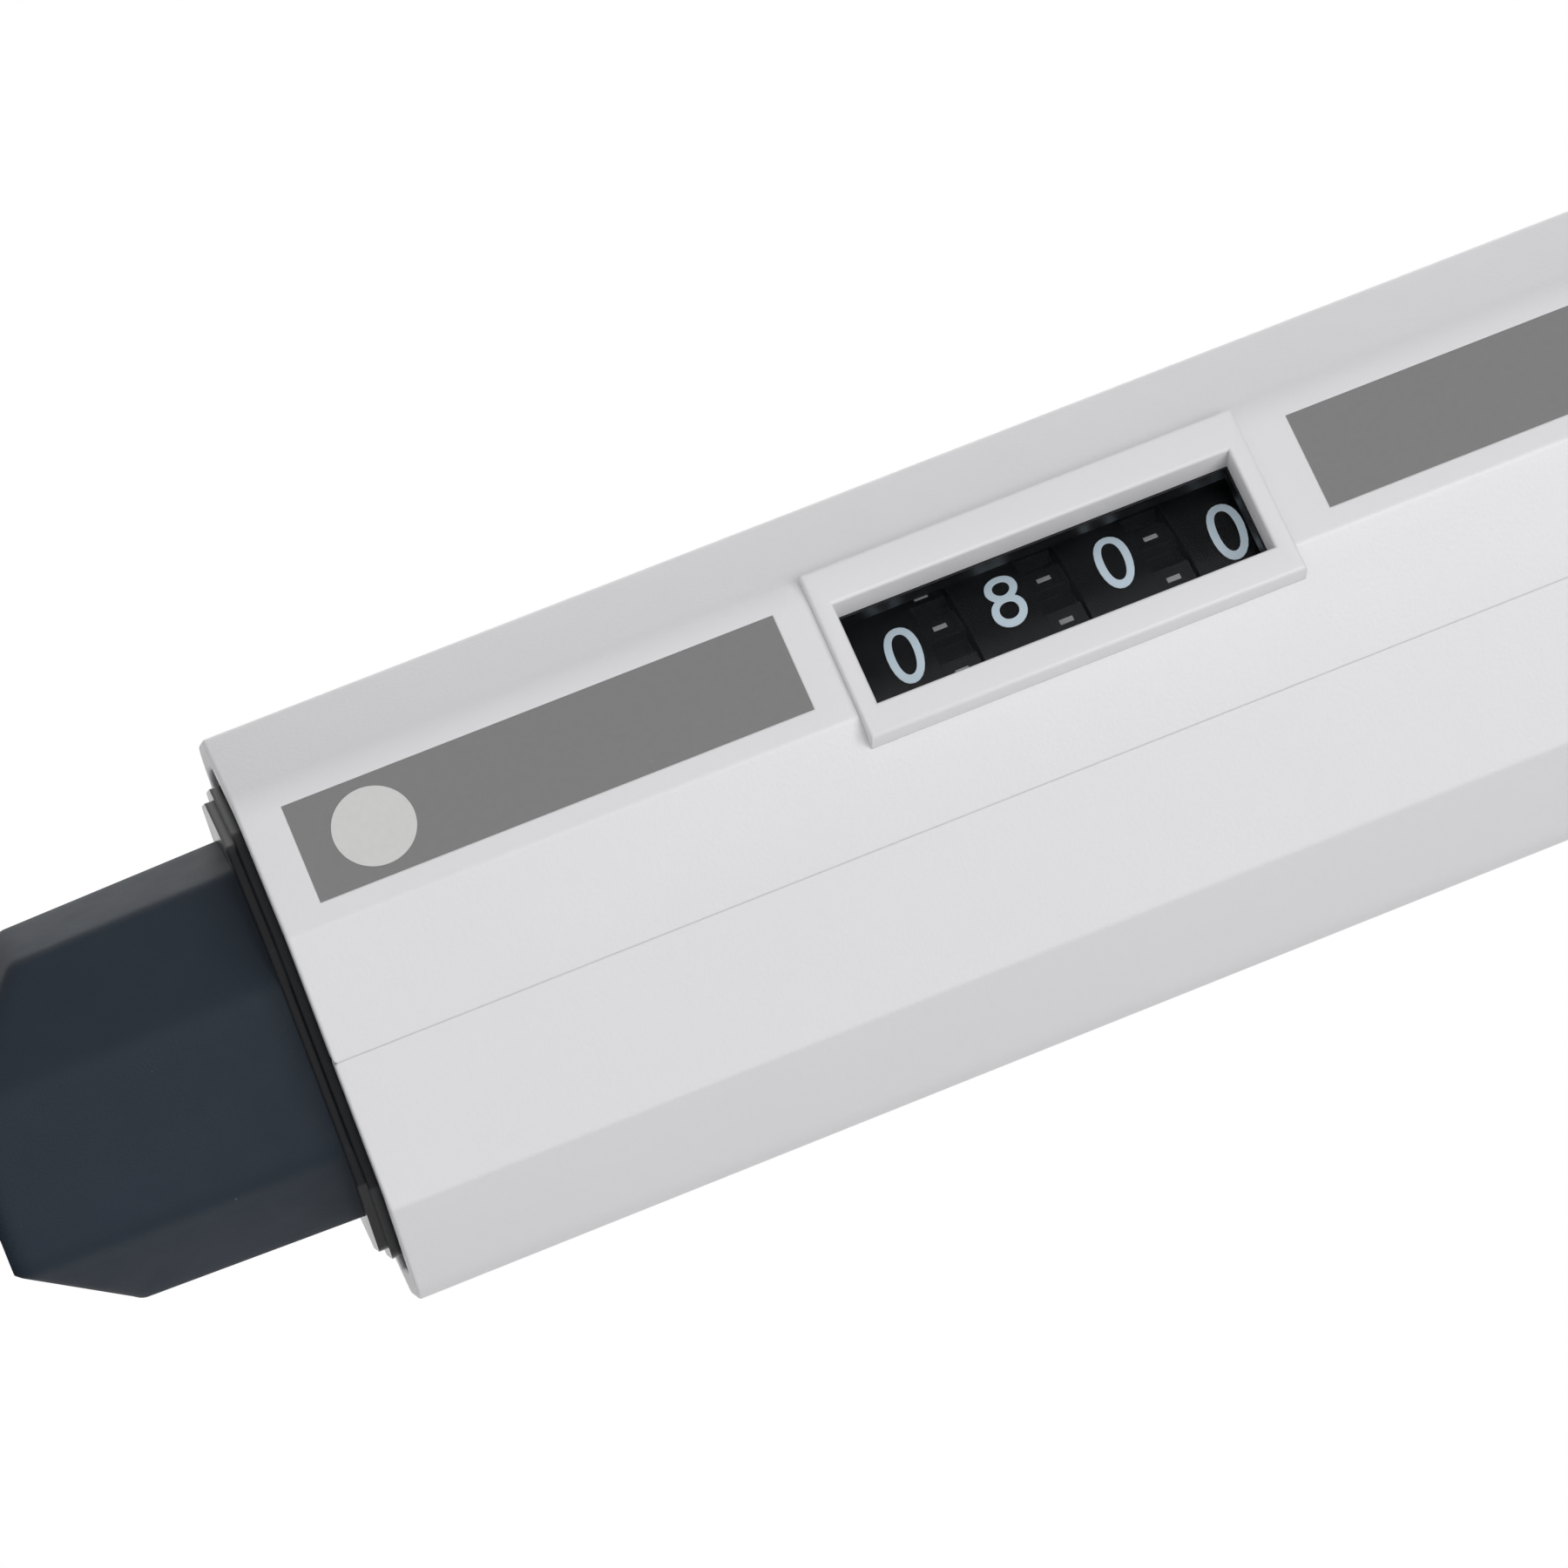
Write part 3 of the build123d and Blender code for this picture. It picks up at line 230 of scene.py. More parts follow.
# ---------------- finishes
@dataclass(frozen=True)
class Plastic:
    """A moulded plastic or rubber surface."""

    name: str
    colour: Colour
    roughness: float
    grain: float = 0.25 * MM
    grain_depth: float = 0.010 * MM
    mottle: float = 0.03
    edge: float = 0.12 * MM
    specks: float = 0.0
    speck_colour: Colour = (0.30, 0.27, 0.23)
    specular: float = 0.5
    # strength of a painted glow: the colour also shines as light, though the part is no lamp
    glow: float = 0.0
    cloud_size: float = 9 * MM
    wear_size: float = 2.2 * MM
    wear: float = 0.12

    def build(self) -> bpy.types.Material:
        """Make the material: clouded colour, moulded grain, softened edges and, where asked, dust specks and a
        painted glow.
        """
        material, graph, place = new_material(self.name)
        cloud = graph.noise(place, self.cloud_size, 3.0)
        fine = graph.noise(place, self.grain, 2.0)
        colour = graph.mix(cloud, *(shade(self.colour, 1 + side * self.mottle) for side in (-1, 1)))
        if self.specks:
            colour = graph.mix(speckle(graph, place, self.specks), colour, self.speck_colour)
        patches = graph.noise(place, self.wear_size, 4.0)
        roughness = self.roughness + (patches - 0.5) * self.wear
        soft = graph.add("ShaderNodeBevel", {"samples": 6}, {"Radius": self.edge})
        bump = graph.bump(fine, self.grain_depth, normal=soft)
        # the emission carries the painted glow, painted light in the surface's own colour
        surface = {"Base Color": colour, "Roughness": roughness, "Normal": bump, "Emission Color": colour,
                   "Specular IOR Level": self.specular, "Emission Strength": self.glow}
        return finish_material(material, graph, surface)


@dataclass(frozen=True)
class Metal:
    """A ground, drawn or turned metal surface."""

    name: str
    colour: Colour
    roughness: float
    line: float = 0.08 * MM
    line_depth: float = 0.004 * MM
    stretch: tuple[float, float, float] = (0.15, 0.15, 1.0)
    cloud_size: float = 4 * MM
    wear: float = 0.15
    edge: float = 0.08 * MM

    def build(self) -> bpy.types.Material:
        """Make the material: fine lines round the piece and clouded roughness."""
        material, graph, place = new_material(self.name)
        stretched = graph.add("ShaderNodeMapping", inputs={"Vector": place, "Scale": self.stretch})
        lines = graph.noise(stretched, self.line, 2.0)
        cloud = graph.noise(place, self.cloud_size, 3.0)
        colour = graph.mix(cloud, shade(self.colour, 0.92), shade(self.colour, 1.05))
        soft = graph.add("ShaderNodeBevel", {"samples": 4}, {"Radius": self.edge})
        bump = graph.bump(lines, self.line_depth, 0.5, soft)
        surface = {"Base Color": colour, "Metallic": 1.0, "Normal": bump,
                   "Roughness": self.roughness + (lines - 0.5) * self.wear}
        return finish_material(material, graph, surface)


@dataclass(frozen=True)
class Printed:
    """A smooth printed plate with a few fine scratches."""

    name: str
    colour: Colour
    scratch_colour: Colour
    roughness: float = 0.42
    scratch_turn: tuple[float, float, float] = (0.5, 0.9, 0.3)
    scratch_stretch: tuple[float, float, float] = (1.0, 14.0, 0.25)
    scratch_size: float = 0.9 * MM
    patch_size: float = 5 * MM
    rarity: tuple[float, float] = (0.78, 0.60)
    strength: float = 0.55
    grain: float = 0.35 * MM
    grain_depth: float = 0.006 * MM

    def build(self) -> bpy.types.Material:
        """Make the material: an even ink with short pale scratches across it."""
        material, graph, place = new_material(self.name)
        turned = graph.add("ShaderNodeMapping", inputs={"Vector": place, "Rotation": self.scratch_turn,
                                                        "Scale": self.scratch_stretch})
        lines = graph.noise(turned, self.scratch_size, 1.0)
        patches = graph.noise(place, self.patch_size, 2.0)
        scratch = (lines > self.rarity[0]) * (patches > self.rarity[1])
        cloud = graph.noise(place, self.grain, 3.0)
        ink = graph.mix(cloud, shade(self.colour, 0.95), shade(self.colour, 1.05))
        colour = graph.mix(scratch * self.strength, ink, self.scratch_colour)
        bump = graph.bump(cloud, self.grain_depth)
        surface = {"Base Color": colour, "Roughness": self.roughness + scratch * 0.2, "Normal": bump}
        return finish_material(material, graph, surface)


@dataclass(frozen=True)
class Clear:
    """A clear moulded window."""

    name: str
    tint: Colour
    roughness: float = 0.03
    alpha: float = 0.08
    ripple_size: float = 3 * MM
    ripple_depth: float = 0.02 * MM
    haze_size: float = 1.2 * MM
    haze: float = 0.05

    def build(self) -> bpy.types.Material:
        """Make the material: mostly see-through, with a thin gloss that shows the room."""
        material, graph, place = new_material(self.name)
        ripple = graph.noise(place, self.ripple_size, 1.0)
        bump = graph.bump(ripple, self.ripple_depth, 0.6)
        clouds = graph.noise(place, self.haze_size, 3.0)
        surface = {"Base Color": rgba(self.tint), "Roughness": self.roughness + clouds * self.haze,
                   "Normal": bump, "Alpha": self.alpha}
        return finish_material(material, graph, surface)


def new_material(name: str) -> tuple[bpy.types.Material, Graph, Port]:
    """Start a material.

    Args:
        name: the material's name.

    Returns:
        The material, its graph and the object coordinates.
    """
    material = bpy.data.materials.new(name)
    material.use_nodes = True
    material.node_tree.nodes.clear()
    graph = Graph(material.node_tree)
    place = graph.add("ShaderNodeTexCoord", out="Object")
    return material, graph, place


def finish_material(material: bpy.types.Material, graph: Graph,
                    surface: dict[str, object]) -> bpy.types.Material:
    """End a material with its shader.

    Args:
        material: the material begun by new_material.
        graph: its graph.
        surface: the shader's sockets.

    Returns:
        The material.
    """
    shader = graph.add("ShaderNodeBsdfPrincipled", inputs=surface)
    graph.add("ShaderNodeOutputMaterial", inputs={"Surface": shader})
    return material


def speckle(graph: Graph, place: Port, density: float) -> Port:
    """Scattered dust specks.

    Args:
        graph: the material's graph.
        place: object coordinates.
        density: the share of cells that hold a speck.

    Returns:
        One on a speck, else nought.
    """
    settings = {"feature": "F1"}
    inputs = {"Vector": place, "Scale": 1 / SPECK_CELL, "Randomness": 1.0}
    near = graph.add("ShaderNodeTexVoronoi", settings, inputs, out="Distance")
    tone = graph.add("ShaderNodeTexVoronoi", settings, inputs, out="Color")
    pick = graph.add("ShaderNodeSeparateColor", inputs={"Color": tone})
    return (near < SPECK_RADIUS) * (pick < density)


class Finish(Enum):
    """Every surface finish of the pipette."""

    CASING = Plastic("casing_white", (0.760, 0.755, 0.775), 0.36, grain_depth=0.012 * MM, mottle=0.012,
                     specks=0.012, edge=0.16 * MM)
    NECK = Plastic("neck_navy", (0.0085, 0.0160, 0.0270), 0.62, grain=0.12 * MM, grain_depth=0.012 * MM,
                   mottle=0.16, edge=1.7 * MM, specks=0.3, speck_colour=(0.09, 0.095, 0.10), specular=0.28)
    HEAD = Plastic("head_navy", (0.0150, 0.0250, 0.0385), 0.50, grain=0.3 * MM, grain_depth=0.02 * MM,
                   mottle=0.08, edge=0.3 * MM, specular=0.4)
    PLUG = Plastic("plug_black", (0.0040, 0.0050, 0.0075), 0.22, grain=0.6 * MM, grain_depth=0.004 * MM,
                   mottle=0.05, edge=0.25 * MM, specular=0.25)
    COUNTER = Plastic("counter_black", (0.0060, 0.0068, 0.0085), 0.34, grain=0.15 * MM, mottle=0.2,
                      edge=0.05 * MM, specular=0.25)
    # the figures glow a little: painted light that brightens them inside the shaded window
    FIGURES = Plastic("figure_pale", (0.70, 0.84, 0.94), 0.5, grain=0.1 * MM, grain_depth=0.003 * MM,
                      mottle=0.06, edge=0.02 * MM, glow=0.28)
    # painted highlight: pale, faintly glowing patches stand in for light glinting on the tooth tips
    TIP = Plastic("tooth_tip", (0.42, 0.43, 0.45), 0.3, grain=0.1 * MM, mottle=0.5, edge=0.02 * MM, glow=0.1)
    FRAME = Plastic("frame_grey", (0.055, 0.060, 0.066), 0.5, mottle=0.05)
    BUTTON = Plastic("button_navy", (0.018, 0.032, 0.055), 0.42, grain=0.2 * MM, mottle=0.06, edge=0.2 * MM)
    CAP = Plastic("cap_grey", (0.40, 0.41, 0.42), 0.3, grain=0.3 * MM, mottle=0.03, edge=0.2 * MM)
    CONE = Plastic("cone_white", (0.70, 0.70, 0.67), 0.38, grain=0.3 * MM, mottle=0.03, edge=0.1 * MM)
    COMB = Plastic("comb_grey", (0.46, 0.47, 0.48), 0.42, grain=0.3 * MM, mottle=0.03, edge=0.2 * MM)
    SEAL = Plastic("seal_black", (0.012, 0.012, 0.012), 0.5, grain=0.1 * MM, mottle=0.1)
    LABEL = Printed("label_grey", (0.196, 0.194, 0.195), (0.42, 0.42, 0.42))
    DISC = Printed("label_pale", (0.640, 0.640, 0.635), (0.75, 0.75, 0.75))
    LENS = Clear("lens_clear", (0.012, 0.014, 0.016))
    STEEL = Metal("steel", (0.60, 0.61, 0.62), 0.28)
    BRASS = Metal("brass", (0.70, 0.54, 0.24), 0.3)

    def material(self) -> bpy.types.Material:
        """The finish's material, made when it is first asked for."""
        found = bpy.data.materials.get("finish_" + self.value.name)
        if found is None:
            found = self.value.build()
            found.name = "finish_" + self.value.name
        return found


# ---------------- mesh helpers
def scene_object(name: str, data: bpy.types.ID) -> bpy.types.Object:
    """Put a mesh, a text, a lamp or a camera into the scene."""
    piece = bpy.data.objects.new(name, data)
    bpy.context.scene.collection.objects.link(piece)
    return piece


def build_mesh(name: str, draw: Callable[[bmesh.types.BMesh], None]) -> bpy.types.Object:
    """Make an object from a drawing function.

    Args:
        name: the object's name.
        draw: fills a bmesh.

    Returns:
        The object.
    """
    shape = bmesh.new()
    draw(shape)
    bmesh.ops.remove_doubles(shape, verts=shape.verts, dist=WELD / 10)
    bmesh.ops.recalc_face_normals(shape, faces=shape.faces)
    return closed(shape, name)


def opened(node: bpy.types.Object, flatten: bool = False) -> bmesh.types.BMesh:
    """Start to edit a copy of a node's mesh.

    Args:
        node: the model's object.
        flatten: whether faces that lie in one plane become one face.

    Returns:
        The shape, with its meeting corners joined.
    """
    shape = bmesh.new()
    shape.from_mesh(node.data)
    bmesh.ops.remove_doubles(shape, verts=shape.verts, dist=WELD)
    if flatten:
        bmesh.ops.dissolve_limit(shape, angle_limit=FLAT_ANGLE, verts=shape.verts, edges=shape.edges)
    return shape


def closed(shape: bmesh.types.BMesh, name: str) -> bpy.types.Object:
    """End the editing of a shape and put it into the scene."""
    mesh = bpy.data.meshes.new(name)
    shape.to_mesh(mesh)
    shape.free()
    return scene_object(name, mesh)


def smooth(piece: bpy.types.Object, angle: float = 30.0) -> bpy.types.Object:
    """Shade a piece smooth except across edges sharper than an angle in degrees."""
    mesh = piece.data
    mesh.polygons.foreach_set("use_smooth", [True] * len(mesh.polygons))
    shape = bmesh.new()
    shape.from_mesh(mesh)
    for edge in shape.edges:
        edge.smooth = len(edge.link_faces) == 2 and edge.calc_face_angle(0.0) < math.radians(angle)
    shape.to_mesh(mesh)
    shape.free()
    return piece


def softened(node: bpy.types.Object, name: str, radius: float,
             chosen: Callable[[Vector, Vector], bool]) -> bpy.types.Object:
    """Copy a node with some of its sharp edges rounded.

    Args:
        node: the model's object.
        name: the copy's name.
        radius: how far the rounding reaches.
        chosen: says from its two ends whether an edge is rounded.

    Returns:
        The copy.
    """
    shape = opened(node, flatten=True)
    sharp = [edge for edge in shape.edges if len(edge.link_faces) == 2
             and edge.calc_face_angle(0.0) > SHARP_ANGLE and chosen(*(v.co for v in edge.verts))]
    bmesh.ops.bevel(shape, geom=sharp, offset=radius, segments=4, profile=0.5, affect="EDGES",
                    clamp_overlap=True)
    return smooth(closed(shape, name))


def frozen(piece: bpy.types.Object) -> bpy.types.Object:
    """Turn the evaluated result of a piece's modifiers into its plain mesh."""
    graph = bpy.context.evaluated_depsgraph_get()
    mesh = bpy.data.meshes.new_from_object(piece.evaluated_get(graph))
    piece.modifiers.clear()
    piece.data = mesh
    return piece


def paint(piece: bpy.types.Object, finish: Finish) -> bpy.types.Object:
    """Give a piece one finish."""
    piece.data.materials.clear()
    piece.data.materials.append(finish.material())
    return piece


def place_piece(piece: bpy.types.Object, body: str, slot: str, *nodes: str) -> None:
    """Ride a piece on its body and hide the model's nodes that it replaces.

    Args:
        piece: the finished piece.
        body: the body that it moves with.
        slot: the record's material slot; not used.
        nodes: the model's nodes that it replaces.
    """
    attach(piece, body)
    if nodes:
        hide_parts(*nodes)
    LOG.info("%s rides on %s with %d faces", piece.name, body, len(piece.data.polygons))


class GeometryTree:
    """A Geometry Nodes tree with named number inputs."""

    def __init__(self, name: str, numbers: dict[str, float], wholes: dict[str, int] | None = None) -> None:
        """Make the tree and its interface."""
        self.tree = bpy.data.node_groups.new(name, "GeometryNodeTree")
        self.keys: dict[str, str] = {}
        self.values: dict[str, float | int] = {}
        face = self.tree.interface
        face.new_socket("Geometry", in_out="INPUT", socket_type="NodeSocketGeometry")
        face.new_socket("Geometry", in_out="OUTPUT", socket_type="NodeSocketGeometry")
        for label, value in numbers.items():
            self._input(label, "NodeSocketFloat", value)
        for label, value in (wholes or {}).items():
            self._input(label, "NodeSocketInt", value)
        self.graph = Graph(self.tree)
        self.entry = self.tree.nodes.new("NodeGroupInput")

    def _input(self, label: str, kind: str, value: float | int) -> None:
        """Add one named input."""
        socket = self.tree.interface.new_socket(label, in_out="INPUT", socket_type=kind)
        self.keys[label] = socket.identifier
        self.values[label] = value

    def port(self, label: str) -> Port:
        """A named input, or the incoming geometry."""
        return Port(self.graph, self.entry.outputs[label])

    def end(self, geometry: Port, finish: Finish) -> None:
        """Realise the instances, set the material and close the tree."""
        real = self.graph.add("GeometryNodeRealizeInstances", inputs={0: geometry})
        dressed = self.graph.add("GeometryNodeSetMaterial",
                                 inputs={"Geometry": real, "Material": finish.material()})
        self.graph.add("NodeGroupOutput", inputs={0: dressed})

    def block(self, *labels: str) -> Port:
        """A block whose three sizes are named inputs."""
        size = self.graph.vector(*map(self.port, labels))
        return self.graph.add("GeometryNodeMeshCube", inputs={"Size": size})

    def row(self, ends: Sequence[Port], piece: Port,
            turn: tuple[float, float, float] = (0.0, 0.0, 0.0)) -> Port:
        """Set Count copies of a piece in a straight row.

        Args:
            ends: the two ends of the row.
            piece: what is repeated.
            turn: how each copy is turned.

        Returns:
            The copies.
        """
        line = self.graph.add("GeometryNodeMeshLine", {"mode": "END_POINTS"},
                              {"Count": self.port("Count"), "Start Location": ends[0], "Offset": ends[1]})
        return self.graph.add("GeometryNodeInstanceOnPoints",
                              inputs={"Points": line, "Instance": piece, "Rotation": turn})

    def ring_of_blocks(self, finish: Finish) -> None:
        """Fill the tree with Count blocks round the axis, from Radius, Level, Depth, Width and Height."""
        graph = self.graph
        circle = graph.add("GeometryNodeMeshCircle", inputs={"Vertices": self.port("Count"),
                                                             "Radius": self.port("Radius")})
        turn = graph.add("FunctionNodeAlignRotationToVector", {"axis": "X", "pivot_axis": "Z"},
                         {"Vector": graph.add("GeometryNodeInputPosition")})
        blocks = graph.add("GeometryNodeInstanceOnPoints", inputs={
            "Points": circle, "Instance": self.block("Depth", "Width", "Height"), "Rotation": turn})
        lift = graph.vector(0.0, 0.0, self.port("Level"))
        real = graph.add("GeometryNodeRealizeInstances", inputs={0: blocks})
        self.end(graph.add("GeometryNodeSetPosition", inputs={"Geometry": real, "Offset": lift}), finish)

    def apply(self, name: str) -> bpy.types.Object:
        """Run the tree on a new piece and keep the result as its mesh."""
        piece = scene_object(name, bpy.data.meshes.new(name))
        modifier = piece.modifiers.new(self.tree.name, "NODES")
        modifier.node_group = self.tree
        for label, key in self.keys.items():
            modifier[key] = self.values[label]
        return frozen(piece)


# ---------------- handle
class Assembly:
    """A group of the model's nodes that are dressed together."""

    finishes: dict[str, Finish]

    def dress(self, nodes: dict[str, bpy.types.Object]) -> None:
        """Give the model's own pieces their finishes."""
        for name, finish in self.finishes.items():
            for slot in nodes[name].material_slots:
                slot.material = finish.material()
            LOG.info("%s has finish %s", name, finish.value.name)


@dataclass
class Handle(Assembly):
    """The white casing with its window, labels, neck, cap and finger rest."""

    disc_radius: float = 2.2 * MM
    disc_inset: float = 4.0 * MM
    edge_radius: float = 0.32 * MM
    edge_reach: float = 0.1 * MM
    mask_depth: float = 2.1 * MM
    mask_thick: float = 0.12 * MM
    mask_margin: float = 0.7 * MM
    mask_gap: float = 0.02 * MM
    disc_thick: float = 0.03 * MM
    neck_bore: float = 6.0 * MM
    neck_draft: float = 0.03
    shoulder_share: float = 0.97
    finishes: dict[str, Finish] = field(default_factory=lambda: {
        "casing_left": Finish.CASING, "casing_right": Finish.CASING, "top_cap": Finish.CASING,
        "finger_rest": Finish.CASING, "label_plate_lower": Finish.LABEL, "label_plate_upper": Finish.LABEL,
        "mouth_plug": Finish.PLUG, "neck_housing": Finish.NECK, "stem_ring": Finish.BRASS,
        "top_bush": Finish.FRAME, "display_lens": Finish.LENS})

    def shells(self, facet: Facet) -> None:
        """Replace the casing's shells by copies whose mouth and display frame have rounded edges."""
        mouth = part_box("casing_left")[0].z
        for name in ("casing_left", "casing_right"):
            shell = softened(bpy.data.objects[name], name + "_soft", self.edge_radius, lambda a, b: all(
                v.z < mouth + self.edge_reach or v.dot(facet.normal) > facet.depth + self.edge_reach
                for v in (a, b)))
            place_piece(paint(shell, Finish.CASING), "handle", "casing_white", name)

    def build(self, facet: Facet) -> None:
        """Add the plain disc on the lower label and the liner of the window."""
        low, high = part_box("label_plate_lower")
        centre = (low + high) / 2
        centre.z = low.z + self.disc_inset
        centre += facet.normal * (facet.depth - centre.dot(facet.normal) + self.disc_thick / 2)

        def draw(shape: bmesh.types.BMesh) -> None:
            """A thin round plate on the facet."""
            bmesh.ops.create_cone(shape, cap_ends=True, segments=64, radius1=self.disc_radius,
                                  radius2=self.disc_radius, depth=self.disc_thick, matrix=facet.matrix(centre))

        place_piece(paint(build_mesh("label_disc", draw), Finish.DISC), "handle", "cap_grey")
        place_piece(self.mask(facet), "handle", "plug_black")

    def neck(self, node: bpy.types.Object) -> None:
        """Replace the neck by a copy whose sides draw in a little towards the shoulder, as a moulding does."""
        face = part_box("mouth_plug")[0].z
        shape = opened(node)
        bmesh.ops.bisect_plane(shape, geom=[*shape.verts, *shape.edges, *shape.faces], dist=WELD,
                               plane_co=(0, 0, face), plane_no=(0, 0, 1))
        outer = [v for v in shape.verts if v.co.xy.length > self.neck_bore and v.co.z < face]
        widest = max(abs(v.co.x) for v in outer)
        shoulder = min(v.co.z for v in outer if abs(v.co.x) > self.shoulder_share * widest)
        for vertex in outer:
            down = min((face - vertex.co.z) / (face - shoulder), 1.0)
            vertex.co.x *= 1 - self.neck_draft * down
        piece = paint(smooth(closed(shape, "neck_drawn")), Finish.NECK)
        place_piece(piece, "handle", "neck_navy", node.name)

    def mask(self, facet: Facet) -> bpy.types.Object:
        """A black liner in the inner part of the window."""
        lens = facet.extent(bpy.data.objects["display_lens"])
        bezel = facet.extent(bpy.data.objects["casing_left"])
        along, across = ((low + self.mask_margin, high - self.mask_margin) for low, high in lens[:2])
        heights = (lens[2][1] + self.mask_gap, bezel[2][1] - self.mask_depth)

        def draw(shape: bmesh.types.BMesh) -> None:
            """Four thin walls standing on the lens."""
            rings = []
            for inset, height in ((0.0, heights[0]), (0.0, heights[1]), (self.mask_thick, heights[1]),
                                  (self.mask_thick, heights[0])):
                corners = [(along[0] + inset, across[0] + inset), (along[1] - inset, across[0] + inset),
                           (along[1] - inset, across[1] - inset), (along[0] + inset, across[1] - inset)]
                rings.append([shape.verts.new((x, y, height)) for x, y in corners])
            for low, high in zip(rings, rings[1:] + rings[:1]):
                for index in range(4):
                    after = (index + 1) % 4
                    shape.faces.new((low[index], low[after], high[after], high[index]))
            bmesh.ops.transform(shape, matrix=facet.matrix(Vector()), verts=shape.verts)

        return paint(build_mesh("window_mask", draw), Finish.COUNTER)


@dataclass
class Facet:
    """The slanting facet that carries the labels and the display."""

    normal: Vector
    depth: float

    @classmethod
    def of(cls, node: bpy.types.Object) -> Facet:
        """Find the facet from the outer face of a label plate."""
        outer = max((p for p in node.data.polygons if p.normal.y < -0.3), key=lambda p: p.area)
        normal = outer.normal.copy()
        normal.z = 0.0
        normal.normalize()
        return cls(normal, max(v.co.dot(normal) for v in node.data.vertices))

    def extent(self, node: bpy.types.Object) -> list[tuple[float, float]]:
        """The least and greatest place of a node along the facet's three axes."""
        inverse = self.matrix(Vector()).inverted()
        places = [inverse @ vertex.co for vertex in node.data.vertices]
        return [(min(p[axis] for p in places), max(p[axis] for p in places)) for axis in range(3)]

    def matrix(self, place: Vector) -> Matrix:
        """Axes on the facet: X up the handle, Y across it and Z outwards."""
        up = Vector((0, 0, 1))
        axes = Matrix((up, self.normal.cross(up), self.normal)).transposed()
        return Matrix.Translation(place) @ axes.to_4x4()


